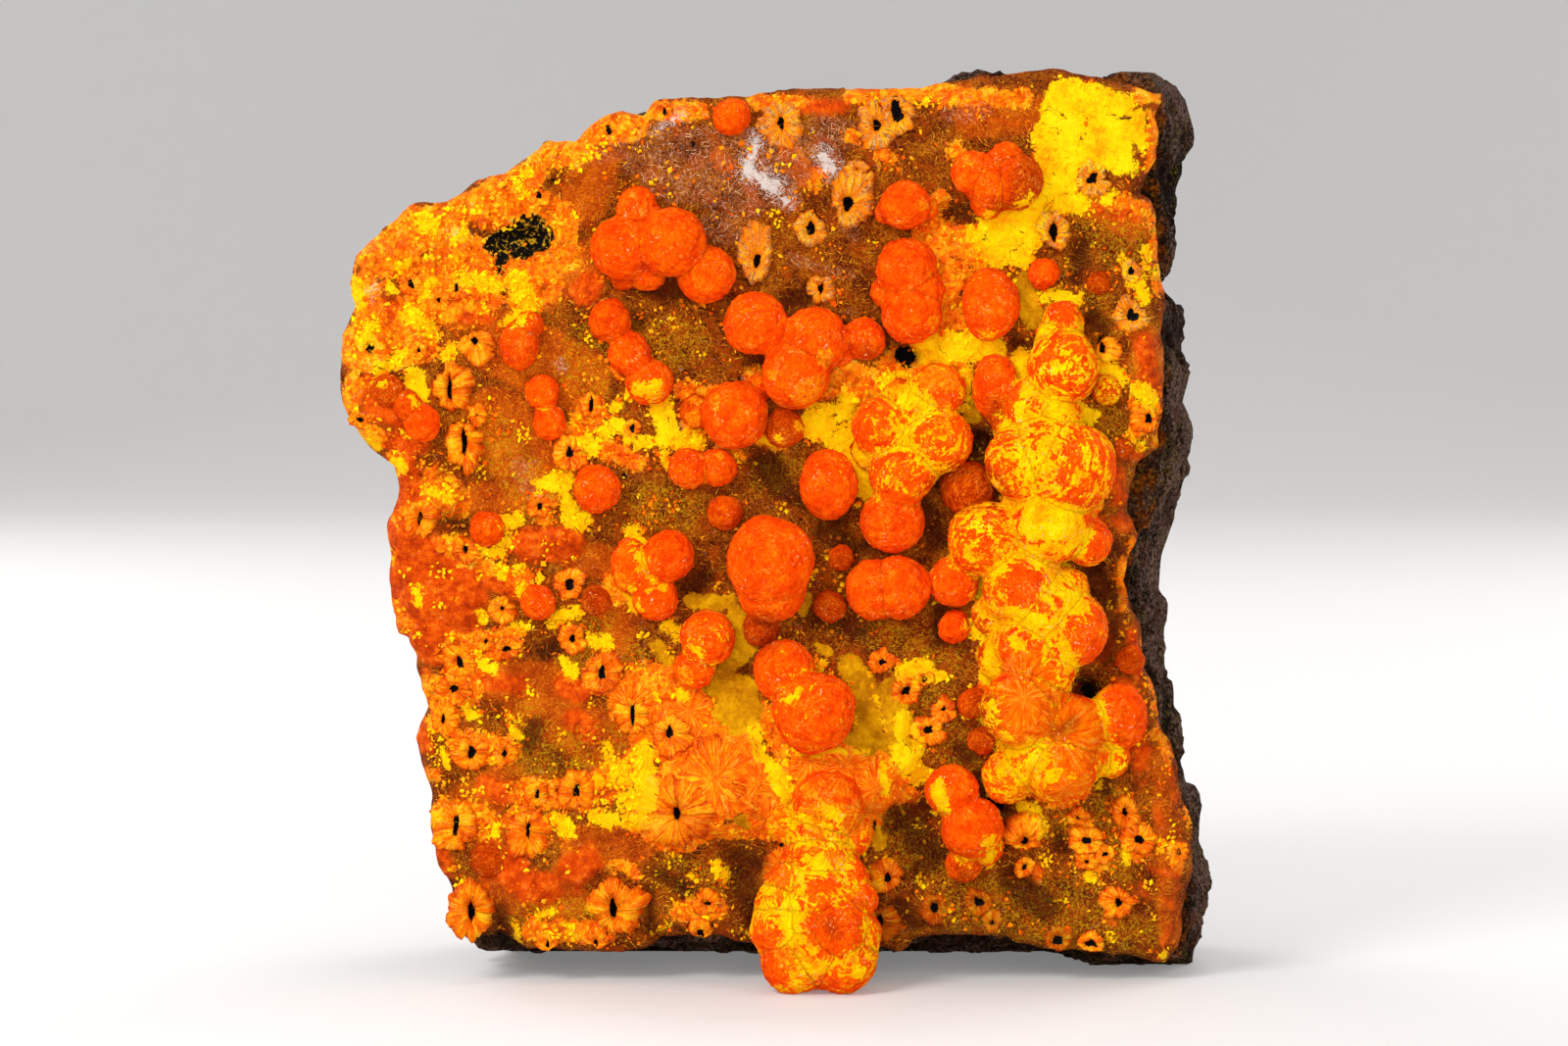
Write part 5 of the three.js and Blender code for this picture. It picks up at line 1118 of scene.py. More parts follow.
# ---------- the felt and the crumbs ----------
FELT_SEED = 7
CRUMB_SEED = 17
BLADE_LIFT = (6, 42)  # degrees over the crust
BLADE_LENGTH = (0.14, 0.3)
BLADE_WIDTH = (0.014, 0.024)
FELT_ZONES = ("orange_felt", "dark", "pink", "pale", "amber", "red", "dusty")
CRUMB_SIZE = (0.08, 0.19)
CRUMB_CORNERS = np.array([(1, 0, 0), (-1, 0, 0), (0, 1, 0), (0, -1, 0), (0, 0, 1), (0, 0, -1)], float)
CRUMB_FACES = np.array([(0, 2, 4), (2, 1, 4), (1, 3, 4), (3, 0, 4),
                        (2, 0, 5), (1, 2, 5), (3, 1, 5), (0, 3, 5)])
CRUMB_SHAPE = [1.0, 0.8, 0.42]  # flat flakes


def scatter(draw, count, wanted):
    """Places on the crust, kept with the chance that wanted gives."""
    x = draw.uniform(*SCATTER_X, count)
    z = draw.uniform(*SCATTER_Z, count)
    keep = (sample("edge", x, z) > 0.25) & (draw.random(count) < wanted(x, z))
    return x[keep], z[keep]


def felt_share(x, z):
    """Felt grows where there's no powder and no bare rock, and thinly on the orange druse."""
    cover = np.maximum.reduce([sample(n, x, z) for n in ("yellow", "shaded_powder", "black")])
    other = np.maximum(sample("amber", x, z), 1.1 * sample("red", x, z))
    fleck = 0.25 * noise(flat(x, z), 0.7, seed=91)
    return np.clip((0.5 - cover + fleck) * 6, 0, 1) * np.clip(1.05 - 0.8 * other, 0.1, 1)


def unit(vectors):
    return vectors / np.linalg.norm(vectors, axis=1)[:, None]


def build_felt():
    """The brown felt: tiny three-sided blades lying every way on the crust."""
    draw = np.random.default_rng(FELT_SEED)
    x, z = scatter(draw, FELT_TRIES, felt_share)
    n = len(x)
    normal = crust_normal(x, z)
    swirl = 2.2 * noise(flat(x, z), 1.6, seed=101) + draw.normal(0, 0.9, n)
    across = np.stack([np.cos(swirl), np.zeros(n), np.sin(swirl)], 1)
    across = unit(across - normal * (across * normal).sum(1)[:, None])
    lift = np.radians(draw.uniform(*BLADE_LIFT, n))[:, None]
    along = across * np.cos(lift) + normal * np.sin(lift)
    side = unit(np.cross(along, normal))
    up = np.cross(side, along)
    tint = draw.random(n)
    length = (draw.uniform(*BLADE_LENGTH, n) * (0.8 + tint))[:, None]
    width = (draw.uniform(*BLADE_WIDTH, n) * (0.8 + 0.6 * tint))[:, None]
    base = on_crust(x, z) - normal * 0.03
    corners = [base + side * width, base - side * width, base + up * width * 1.4, base + along * length]
    points = np.stack(corners, 1).reshape(-1, 3)
    start = np.arange(n) * len(corners)
    faces = np.concatenate([np.stack([start + a, start + b, start + c], 1)
                            for a, b, c in ((0, 1, 2), (1, 0, 3), (2, 1, 3), (0, 2, 3))])
    values = {key: sample(key, x, z) for key in FELT_ZONES}
    per_point = {key: np.repeat(v, len(corners)) for key, v in {**values, "tint": tint}.items()}
    return make_piece("crust_felt", points, faces.tolist(), per_point, smooth=False)


def fleck_share(x, z):
    """Clumps of yellow flecks, most of them low and to the left."""
    common = np.clip(0.8 - 0.02 * (x + 22) - 0.03 * np.maximum(z - 14, 0), 0, 1)
    return np.clip(6 * (noise(flat(x, z), 0.8, seed=113) - 0.62 + 0.35 * common), 0, 1)


def crumb_share(x, z):
    """Crumbs grow on the orange druse, round the powder and in clumps, but not in fans or hollows."""
    amber, yellow, fan = sample("amber", x, z), sample("yellow", x, z), ray_pattern(x, z)[0]
    bare = np.maximum.reduce([sample("black", x, z), sample("shaded_powder", x, z), fan])
    edge = 4 * yellow * (1 - yellow)
    clump = 0.06 + 0.3 * noise(flat(x, z), 1.1, seed=111) + 0.8 * fleck_share(x, z)
    return np.clip(0.7 * amber + 0.35 * edge + clump, 0, 1) * np.clip(1.6 - 2 * bare, 0, 1)


def build_crumbs():
    """Crumbs of orange and yellow grown on the crust: small eight-sided flakes lying every way."""
    draw = np.random.default_rng(CRUMB_SEED)
    x, z = scatter(draw, CRUMB_TRIES, crumb_share)
    n, corners = len(x), len(CRUMB_CORNERS)
    amber = sample("amber", x, z)
    size = draw.uniform(*CRUMB_SIZE, n) * (1 + 0.3 * amber)
    shape = CRUMB_CORNERS * draw.uniform(0.75, 1.2, (n, corners, 1)) * CRUMB_SHAPE * size[:, None, None]
    turns, _ = np.linalg.qr(draw.normal(0, 1, (n, 3, 3)))
    turns *= np.sign(np.linalg.det(turns))[:, None, None]
    shape = np.einsum("nij,nkj->nki", turns, shape)
    root = on_crust(x, z) + crust_normal(x, z) * size[:, None] * 0.25
    points = (root[:, None] + shape).reshape(-1, 3)
    faces = (CRUMB_FACES + (np.arange(n) * corners)[:, None, None]).reshape(-1, 3)
    values = {"tint": draw.random(n), "amber": amber, "dark": sample("dark", x, z),
              "yellow": np.maximum(sample("yellow", x, z), fleck_share(x, z))}
    per_point = {key: np.repeat(v, corners) for key, v in values.items()}
    return make_piece("crust_crumbs", points, faces.tolist(), per_point, smooth=False)


# ---------- the matrix ----------
def build_matrix():
    """The slab chipped into shallow scoops with sharp ridges, flat underneath and behind the crust."""
    piece = remeshed("matrix_rock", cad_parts["matrix"].data.copy(), ROCK_VOXEL)
    mesh = piece.data
    points = to_lists(read(mesh.vertices, "co"))
    normals = read(mesh.vertices, "normal")
    bent = points * [1, 1, 0.7] + 0.5 * noise(points, 1.0, seed=129)[:, None]
    chips = 1.1 * lumps(bent, 3.6, seed=133) + 0.55 * lumps(bent, 1.4, seed=131)
    chips += 0.4 * lumps(points * [1, 1, 0.8], 0.75, seed=135)
    cut = np.maximum(0.1 + layers(points, ROCK_NOISE, seed=121) + chips, -0.3)
    set_attribute(mesh, "ridge", np.interp(cut, [-0.25, 0.6], [1.0, 0.0]))
    sole = (points[:, 2] + DATUM < 0.12) & (normals[:, 2] < -0.5)
    face = points[:, 1] < ROCK_FRONT - SHIFT[1] + 0.3
    cut[sole | face] *= 0.12
    points -= normals * cut[:, None]
    points[sole, 2] = -DATUM
    set_points(mesh, to_frame(points))
    mesh.shade_smooth()
    return piece


# ---------- materials ----------
class Shader:
    """A material made of nodes, with short names for the ones used here."""

    def __init__(self, name, roughness, specular=0.06):
        self.material = bpy.data.materials.new(name)
        self.material.use_nodes = True
        self.tree = self.material.node_tree
        self.surface = self.tree.nodes["Principled BSDF"]
        self.surface.inputs["Roughness"].default_value = roughness
        self.surface.inputs["Specular IOR Level"].default_value = specular
        place = self.tree.nodes.new("ShaderNodeTexCoord").outputs["Object"]
        self.place = self.vector("SCALE", place, Scale=1 / MM)

    def node(self, kind, inputs, **settings):
        made = self.tree.nodes.new(kind)
        for key, value in settings.items():
            setattr(made, key, value)
        for key, value in inputs.items():
            if isinstance(value, bpy.types.NodeSocket):
                self.tree.links.new(value, made.inputs[key])
            else:
                made.inputs[key].default_value = value
        return made

    def vector(self, operation, first, second=None, **inputs):
        given = {0: first} if second is None else {0: first, 1: second}
        return self.node("ShaderNodeVectorMath", {**given, **inputs}, operation=operation).outputs[0]

    def math(self, operation, first, second=0.0):
        return self.node("ShaderNodeMath", {0: first, 1: second}, operation=operation).outputs[0]

    def plus(self, first, second):
        return self.math("ADD", first, second)

    def minus(self, first, second):
        return self.math("SUBTRACT", first, second)

    def times(self, first, second):
        return self.math("MULTIPLY", first, second)

    def noise(self, size, detail=3.0, roughness=0.6, distortion=0.0, place=None):
        """Noise about 0.5 whose lumps are size mm across."""
        inputs = {"Vector": place or self.place, "Scale": 1 / size, "Detail": detail,
                  "Roughness": roughness, "Distortion": distortion}
        return self.node("ShaderNodeTexNoise", inputs).outputs["Fac"]

    def cells(self, size, output="Distance", wander=0.0):
        """Cells size mm across, with their places shifted by noise of wander mm."""
        place = self.place
        if wander:
            inputs = {"Vector": place, "Scale": 1 / size}
            drift = self.node("ShaderNodeTexNoise", inputs).outputs["Color"]
            place = self.vector("ADD", place, self.vector("SCALE", drift, Scale=wander))
        inputs = {"Vector": place, "Scale": 1 / size}
        return self.node("ShaderNodeTexVoronoi", inputs).outputs[output]

    def attribute(self, name, output="Fac"):
        return self.node("ShaderNodeAttribute", {}, attribute_name=name).outputs[output]

    def step(self, value, low, high):
        """0 at low, 1 at high."""
        inputs = {"Value": value, "From Min": low, "From Max": high}
        return self.node("ShaderNodeMapRange", inputs, interpolation_type="SMOOTHSTEP").outputs[0]

    def mix(self, share, first, second, blend="MIX"):
        made = self.tree.nodes.new("ShaderNodeMix")
        made.data_type = "RGBA"
        made.blend_type = blend
        for key, value in (("Factor_Float", share), ("A_Color", first), ("B_Color", second)):
            socket = next(s for s in made.inputs if s.identifier == key)
            if isinstance(value, bpy.types.NodeSocket):
                self.tree.links.new(value, socket)
            else:
                socket.default_value = value
        return next(s for s in made.outputs if s.identifier == "Result_Color")

    def ramp(self, value, *stops):
        """A colour for each value, from stops of position, red, green, blue."""
        made = self.node("ShaderNodeValToRGB", {"Fac": value})
        elements = made.color_ramp.elements
        elements[0].position, elements[1].position = stops[0][0], stops[-1][0]
        for position, *_ in stops[1:-1]:
            elements.new(position)
        for element, (_, *colour) in zip(elements, stops):
            element.color = tone(*colour)
        return made.outputs["Color"]

    def over(self, colour, share, *top):
        """A colour with red, green and blue laid over it."""
        return self.mix(share, colour, tone(*top))

    def parts(self, vector):
        return self.node("ShaderNodeSeparateXYZ", {0: vector}).outputs

    def centred(self, value, gain):
        """A noise's swing about 0.5, gain times as strong."""
        return self.times(self.minus(value, 0.5), gain)

    def blend(self, first, share, second):
        """share of the first value and the rest of the second."""
        return self.plus(self.times(first, share), self.times(second, 1 - share))

    def soft(self, bias, wobble):
        """A painted zone's share with a gradual edge, for zones that fade into their surroundings."""
        return self.step(self.plus(bias, self.times(wobble, 0.6)), 0.25, 0.75)

    def edge(self, bias, wobble):
        """A painted zone's share with a sharp edge, made ragged by noise."""
        return self.step(self.plus(bias, wobble), 0.47, 0.54)

    def fan_colour(self):
        """Orange fibres that run out from a fan's centre, with painted highlights along them."""
        rays = self.attribute("rays", "Vector")
        streak = self.blend(self.noise(0.42, 4.0, 0.7, 0.2, place=rays), 0.75, self.noise(0.5, 4.0, 0.7))
        colour = self.ramp(streak, (0.38, 216, 62, 0), (0.45, 244, 90, 0),
                           (0.52, 254, 118, 0), (0.58, 255, 150, 8), (0.66, 255, 196, 60))
        # Painted highlights along the fibres.
        gleam = self.step(self.noise(0.5, 2.0, 0.5, 0.1, place=rays), 0.6, 0.66)
        return self.over(colour, self.times(gleam, 0.35), 255, 206, 70)

    def finish(self, colour, height, distance):
        """The material, with its colour and with height as bumps up to distance mm high."""
        bump = self.node("ShaderNodeBump", {"Height": height, "Distance": distance * MM, "Strength": 1.0})
        self.tree.links.new(colour, self.surface.inputs["Base Color"])
        self.tree.links.new(bump.outputs[0], self.surface.inputs["Normal"])
        return self.material


def tone(red, green, blue):
    """A screen colour from 0 to 255, as the linear colour that nodes use."""
    linear = [((c / 255 + 0.055) / 1.055) ** 2.4 if c > 10 else c / 255 / 12.92 for c in (red, green, blue)]
    return (*linear, 1.0)


def felt_colour(s, ragged, patch, hair):
    """Brown felt with a reddish glow, orange in places, and with pinkish-white hairs in others."""
    streak = s.noise(0.11, 3.0, 0.6, 1.4)
    brown = s.ramp(s.blend(streak, 0.7, patch), (0.38, 44, 12, 1), (0.47, 102, 36, 2),
                   (0.54, 152, 72, 4), (0.64, 196, 124, 14))
    glow = s.step(s.noise(1.0, 4.0, 0.65), 0.48, 0.66)
    brown = s.over(brown, s.times(glow, 0.6), 168, 62, 1)
    orange = s.ramp(s.blend(streak, 0.6, patch), (0.36, 122, 38, 2), (0.48, 172, 66, 2),
                    (0.58, 204, 102, 6), (0.68, 230, 150, 30))
    colour = s.mix(s.soft(s.attribute("orange_felt"), ragged), brown, orange)
    pink = s.times(s.soft(s.attribute("pink"), ragged), s.times(hair, 0.5))
    return s.over(colour, pink, 216, 172, 136)


def with_druse(s, colour, ragged, patch, grain):
    """Red and amber druse laid over the felt, with yellow dust, painted shade in its creases and pale
    painted highlights.
    """
    red = s.ramp(s.blend(s.noise(0.6, 4.0), 0.6, grain), (0.36, 154, 38, 0), (0.47, 202, 62, 0),
                 (0.55, 230, 86, 2), (0.66, 248, 132, 18))
    colour = s.mix(s.times(s.soft(s.attribute("red"), ragged), 0.9), colour, red)
    dust = s.times(s.step(s.noise(0.15, 3.0, 0.65), 0.53, 0.6), s.soft(s.attribute("dusty"), ragged))
    colour = s.over(colour, s.times(dust, 0.7), 190, 148, 8)
    cluster = s.cells(0.45, output="Color", wander=0.35)
    mixed = s.plus(s.times(cluster, 0.2), s.times(s.blend(grain, 0.6, patch), 0.8))
    amber = s.ramp(mixed, (0.36, 214, 72, 0), (0.44, 244, 106, 2), (0.52, 254, 142, 6),
                   (0.6, 255, 178, 14), (0.7, 255, 216, 70))
    colour = s.mix(s.edge(s.attribute("amber"), ragged), colour, amber)
    # Painted shade in the druse's creases.
    colour = s.over(colour, s.times(s.attribute("pit"), 0.8), 186, 66, 0)
    # Painted pale highlights streaking the amber druse.
    frost_and_highlight = s.times(s.step(s.noise(0.3, 4.0, 0.75, 1.8), 0.6, 0.68), s.attribute("amber"))
    return s.over(colour, s.times(frost_and_highlight, 0.6), 250, 196, 136)


def powder_colour(s, patch, grain):
    """Bright yellow with darker pits and a few cracks."""
    yellow = s.ramp(s.blend(patch, 0.6, grain), (0.38, 248, 158, 0), (0.46, 255, 190, 0),
                    (0.54, 255, 206, 0), (0.66, 255, 220, 10))
    pits = s.times(s.step(s.noise(0.22, 4.0, 0.75), 0.57, 0.63), s.step(s.noise(1.3, 3.0), 0.44, 0.58))
    yellow = s.over(yellow, s.times(pits, 0.8), 232, 132, 0)
    crack = s.math("ABSOLUTE", s.centred(s.noise(1.5, 3.0, 0.55, 0.6), 1.0))
    crack = s.times(s.step(crack, 0.012, 0.004), s.step(s.noise(2.2, 2.0), 0.52, 0.56))
    return s.over(yellow, crack, 150, 84, 4)


def bare_rock_colour(s):
    """Black, with golden veins in the hollow at the left."""
    left = s.step(s.parts(s.place)[0], -10.0, -11.0)
    vein = s.times(s.step(s.noise(0.35, 4.0, 0.7, 0.8), 0.55, 0.59), left)
    return s.over(tone(14, 11, 8), vein, 200, 150, 24)


def crust_material():
    s = Shader("druse", 0.8)
    ragged = s.centred(s.noise(0.6, 8.0, 0.78, 0.5), 2.2)
    patch, grain = s.noise(1.4, 3.0), s.noise(0.28, 4.0, 0.7)
    hair = s.step(s.noise(0.2, 4.0, 0.78, 2.6), 0.52, 0.64)
    colour = with_druse(s, felt_colour(s, ragged, patch, hair), ragged, patch, grain)
    colour = s.mix(s.edge(s.attribute("fan"), s.times(ragged, 0.7)), colour, s.fan_colour())
    pale = s.edge(s.attribute("pale"), s.plus(s.times(ragged, 0.8), s.centred(hair, 0.7)))
    colour = s.over(colour, s.times(pale, 0.85), 214, 204, 196)
    # Painted shade in the hollows between spherules.
    colour = s.over(colour, s.times(s.step(s.attribute("dark"), 0.2, 0.9), 0.72), 52, 12, 2)
    # Painted shade: the yellow powder in hollows as a darker olive copy.
    shaded_powder = s.ramp(s.blend(patch, 0.6, grain), (0.38, 168, 102, 0), (0.5, 204, 140, 0),
                   (0.62, 232, 176, 4))
    colour = s.mix(s.edge(s.attribute("shaded_powder"), s.times(ragged, 0.6)), colour, shaded_powder)
    colour = s.mix(s.edge(s.attribute("yellow"), ragged), colour, powder_colour(s, patch, grain))
    colour = s.mix(s.edge(s.attribute("black"), s.times(ragged, 0.5)), colour, bare_rock_colour(s))
    height = s.plus(s.noise(0.1, 3.0, 0.7), s.times(s.noise(0.35, 3.0), 1.4))
    return s.finish(colour, height, 0.11)


def felt_material():
    s = Shader("felt_blades", 0.6)
    tint = s.attribute("tint")
    brown = s.ramp(tint, (0.05, 68, 20, 1), (0.45, 126, 46, 2), (0.72, 172, 84, 5),
                   (0.88, 208, 136, 18), (1.0, 236, 180, 44))
    orange = s.ramp(tint, (0.05, 128, 38, 1), (0.5, 190, 74, 2), (0.95, 238, 144, 24))
    colour = s.mix(s.step(s.attribute("orange_felt"), 0.3, 0.8), brown, orange)
    dusty = s.times(s.step(s.attribute("dusty"), 0.3, 0.7), s.step(tint, 0.62, 0.7))
    colour = s.over(colour, s.times(dusty, 0.8), 190, 148, 8)
    amber = s.ramp(tint, (0.1, 236, 104, 2), (0.9, 255, 180, 30))
    colour = s.mix(s.step(s.attribute("amber"), 0.35, 0.65), colour, amber)
    colour = s.over(colour, s.step(s.attribute("red"), 0.3, 0.6), 222, 72, 1)
    pink = s.times(s.step(s.attribute("pink"), 0.3, 0.7), s.step(tint, 0.6, 0.75))
    colour = s.over(colour, s.times(pink, 0.7), 226, 180, 146)
    pale = s.times(s.step(s.attribute("pale"), 0.3, 0.6), s.step(tint, 0.2, 0.3))
    colour = s.over(colour, pale, 228, 216, 206)
    # Painted shade on the felt in the hollows.
    colour = s.over(colour, s.times(s.step(s.attribute("dark"), 0.2, 0.9), 0.7), 60, 16, 2)
    return s.finish(colour, s.noise(0.1), 0.01)


def crumb_material():
    s = Shader("crumbs", 0.8)
    tint = s.attribute("tint")
    amber = s.ramp(tint, (0.1, 236, 92, 0), (0.5, 252, 134, 4), (0.9, 255, 180, 20))
    yellow = s.ramp(tint, (0.2, 255, 178, 0), (0.8, 255, 212, 4))
    colour = s.mix(s.edge(s.attribute("yellow"), s.centred(tint, 0.5)), amber, yellow)
    # Painted shade on the crumbs in the hollows.
    colour = s.over(colour, s.times(s.attribute("dark"), 0.7), 110, 44, 6)
    return s.finish(colour, s.noise(0.12, 3.0), 0.05)


def ball_material():
    s = Shader("spherules", 0.9, 0.03)
    fine = s.noise(0.13, 3.0, 0.7)
    grain = s.attribute("grain")
    rings = s.attribute("rings", "Vector")
    fibre = s.noise(0.3, 3.0, 0.6, 1.0, place=s.vector("MULTIPLY", rings, (0.6, 0.6, 1.0)))
    mixed = s.blend(s.noise(0.9, 3.0), 0.4, s.blend(fine, 0.5, fibre))
    colour = s.ramp(mixed, (0.37, 220, 48, 0), (0.46, 244, 70, 0), (0.54, 252, 90, 0),
                    (0.63, 255, 124, 8))
    # The grains' tops are lighter orange and the gaps between them darker, as painted shade.
    colour = s.over(colour, s.times(s.step(grain, 0.18, 0.45), 0.3), 255, 128, 20)
    colour = s.over(colour, s.times(s.step(grain, 0.02, -0.25), 0.5), 206, 44, 0)
    # Painted shade: a darker copy of the orange, laid on sunken and shaded spherules.
    shade = s.ramp(s.blend(mixed, 0.6, fibre), (0.38, 122, 26, 0), (0.47, 166, 48, 0),
                   (0.55, 196, 74, 2), (0.62, 220, 118, 12))
    colour = s.mix(s.times(s.attribute("painted_shade"), 0.9), colour, shade)
    speck = s.centred(s.noise(0.2, 3.0, 0.7), 0.9)
    amber = s.ramp(s.blend(s.noise(0.3, 4.0, 0.7), 0.6, fine), (0.38, 222, 76, 0),
                   (0.48, 242, 106, 2), (0.57, 252, 142, 8), (0.68, 255, 186, 36))
    ragged = s.centred(s.noise(0.6, 5.0, 0.7), 1.4)
    colour = s.mix(s.edge(s.attribute("amber"), ragged), colour, amber)
    fan = s.over(s.fan_colour(), 0.35, 214, 76, 0)
    # Painted shade on the fans of shaded spherules.
    fan = s.over(fan, s.attribute("painted_shade"), 92, 30, 2)
    colour = s.mix(s.edge(s.attribute("fan"), ragged), colour, fan)
    worm = s.centred(s.noise(1.0, 4.0, 0.62, 0.9, place=rings), 1.25)
    soft = s.centred(s.noise(0.9, 4.0, 0.65, 0.8), 0.9)
    coat = s.edge(s.attribute("yellow"), s.plus(s.plus(worm, soft), speck))
    yellow = s.ramp(s.blend(s.noise(1.1, 3.0), 0.6, fine), (0.38, 244, 140, 2), (0.47, 252, 172, 0),
                    (0.55, 255, 196, 0), (0.66, 255, 214, 10))
    colour = s.mix(coat, colour, yellow)
    # Painted shade: olive flecks of shaded powder at the balls' feet.
    colour = s.over(colour, s.edge(s.attribute("shaded_powder"), speck), 200, 134, 2)
    # Painted glints: thin highlight lines here and there.
    line = s.math("ABSOLUTE", s.centred(s.noise(0.42, 2.0, 0.5, 1.0), 1.0))
    rare = s.step(s.noise(0.7, 2.0), 0.54, 0.6)
    glint = s.times(s.step(line, 0.03, 0.008), rare)
    colour = s.over(colour, s.times(glint, 0.45), 255, 170, 56)
    # Painted highlights: small pale sparks.
    spark = s.times(s.step(s.noise(0.17, 2.0, 0.5), 0.66, 0.69), s.step(s.noise(1.6), 0.5, 0.6))
    colour = s.over(colour, s.times(spark, 0.6), 255, 204, 150)
    height = s.plus(s.plus(fine, s.times(s.cells(0.2), -0.6)), fibre)
    return s.finish(colour, height, 0.08)


def rosette_material():
    s = Shader("rosettes", 0.9, 0.03)
    along = s.attribute("along")
    angle = s.times(s.attribute("turn"), 2 * math.pi)
    spread = s.times(s.attribute("wide"), 1.6)
    around = s.node("ShaderNodeCombineXYZ", {
        0: s.times(s.math("COSINE", angle), spread),
        1: s.times(s.math("SINE", angle), spread),
        2: s.plus(s.times(along, 0.5), s.times(s.attribute("number"), 7.0))}).outputs[0]
    streak = s.noise(0.5, 3.0, 0.6, 0.5, place=around)
    grain = s.noise(0.16, 4.0, 0.7)
    tint = s.blend(s.noise(0.55, 3.0, 0.6), 0.32, s.blend(streak, 0.62, grain))
    tint = s.plus(s.centred(s.attribute("blade"), 0.18), tint)
    # Painted shade at the blades' outer ends, where they dip to the crust.
    tint = s.minus(tint, s.times(s.step(along, 0.78, 1.05), 0.08))
    colour = s.ramp(tint, (0.36, 190, 56, 0), (0.43, 230, 84, 0), (0.49, 242, 114, 2),
                    (0.54, 250, 144, 6), (0.62, 255, 184, 18))
    colour = s.over(colour, s.times(s.attribute("pale"), 0.32), 240, 160, 18)
    gold = s.edge(s.attribute("yellow"), s.centred(s.noise(0.5, 5.0, 0.75), 2.0))
    colour = s.over(colour, s.times(gold, 0.8), 255, 196, 4)
    grey = s.step(s.noise(0.34, 3.0, 0.6, 0.2, place=around), 0.5, 0.57)
    grey = s.times(grey, s.times(s.attribute("pale"), s.step(along, 0.2, 0.5)))
    # The upper rosettes' own grey frost.
    frost_and_highlight = s.ramp(grain, (0.44, 92, 54, 26), (0.6, 206, 166, 120))
    colour = s.mix(s.times(grey, 0.75), colour, frost_and_highlight)
    # Painted shade, darker towards the bottom.
    colour = s.over(colour, s.attribute("shade"), 96, 36, 2)
    # Painted highlights along the rosettes' blades.
    gleam = s.times(s.step(s.noise(0.3, 2.0, 0.5, 0.2, place=around), 0.6, 0.66), 0.4)
    colour = s.over(colour, gleam, 255, 204, 70)
    colour = s.over(colour, s.step(s.attribute("core"), 0.35, 0.6), 30, 24, 24)
    height = s.plus(streak, s.times(s.noise(0.1, 3.0), 0.9))
    return s.finish(colour, height, 0.1)


def rock_material():
    s = Shader("sandstone", 0.9, 0.04)
    upright = s.vector("MULTIPLY", s.place, (1.0, 1.0, 0.5))
    coarse = s.noise(1.3, 5.0, 0.72, 0.3, place=upright)
    fine = s.noise(0.2, 5.0, 0.78)
    broad = s.noise(4.5, 3.0, 0.6)
    colour = s.ramp(s.blend(s.blend(coarse, 0.5, broad), 0.45, fine), (0.4, 5, 2, 1),
                    (0.47, 30, 15, 8), (0.52, 66, 40, 25), (0.57, 104, 74, 55),
                    (0.63, 186, 152, 132))
    # Painted light: the sides facing +X are lighter.
    across = s.parts(s.node("ShaderNodeNewGeometry", {}).outputs["Normal"])[0]
    rim = s.times(s.step(across, 0.3, 0.9), s.step(coarse, 0.45, 0.6))
    rim = s.times(rim, s.step(fine, 0.48, 0.56))
    colour = s.over(colour, s.times(rim, 0.5), 156, 130, 122)
    # Painted shade in the scoops and painted highlights on the ridges between them.
    ridge = s.attribute("ridge")
    colour = s.over(colour, s.times(s.step(ridge, 0.5, 0.05), 0.65), 22, 12, 7)
    crest = s.times(s.step(ridge, 0.7, 1.05), s.step(fine, 0.45, 0.56))
    colour = s.over(colour, s.times(crest, 0.7), 156, 116, 98)
    speck = s.times(s.step(s.noise(0.16, 3.0, 0.7), 0.57, 0.63), s.step(s.noise(1.8), 0.46, 0.6))
    colour = s.over(colour, speck, 132, 116, 14)
    rust = s.times(s.step(s.noise(1.1, 4.0), 0.54, 0.66), 0.5)
    colour = s.over(colour, rust, 84, 38, 18)
    depth = s.plus(s.parts(s.place)[1], s.centred(s.noise(1.3, 6.0, 0.75), 8.0))
    overrun = s.step(depth, ROCK_FRONT + 0.3, ROCK_FRONT - 0.4)
    film = s.ramp(fine, (0.4, 64, 20, 2), (0.5, 140, 62, 4), (0.6, 196, 116, 10))
    colour = s.mix(s.times(overrun, 0.85), colour, film)
    height = s.plus(fine, s.times(s.noise(0.7, 5.0, 0.8), 2.6))
    return s.finish(colour, height, 0.45)


# ---------- build ----------
CRUST = crust_material()
FELT = felt_material()
CRUMB = crumb_material()
BALL = ball_material()
ROSETTE = rosette_material()
ROCK = rock_material()

finish_piece(build_crust(), CRUST, "crust", "crust")
finish_piece(build_matrix(), ROCK, "matrix", "matrix")
for node, balls in CLUSTERS.items():
    made = build_balls(node + "_balls", stood(balls), COATING.get(node, BARE_COATING))
    finish_piece(made, BALL, "mass" if node == "spherule_mass_right" else "spherule", node)
lobe = [(x, y, z - DATUM, radius, 1.0) for x, y, z, radius in LOBE]
made = build_balls("lobe_front_balls", lobe, COATING["lobe_front"], floor=-DATUM)
finish_piece(made, BALL, "mass", "lobe_front")
made = build_balls("spherules_small_balls", stood(SMALL_SPHERULES), SMALL_COATING)
finish_piece(made, BALL, "spherule")
for n, (node, rosette) in enumerate(ROSETTES.items()):
    grown = [rosette, *TWINS.get(node, [])]
    finish_piece(build_rosettes(node + "_blades", grown, 2 * n), ROSETTE, "rosette", node)
finish_piece(build_rosettes("rosettes_small", SMALL_ROSETTES, 2 * len(ROSETTES)), ROSETTE, "rosette")
finish_piece(build_felt(), FELT, "crust")
finish_piece(build_crumbs(), CRUMB, "crust")

# ---------- stage, light and camera ----------
CENTRE = (cad_low + cad_high) / 2
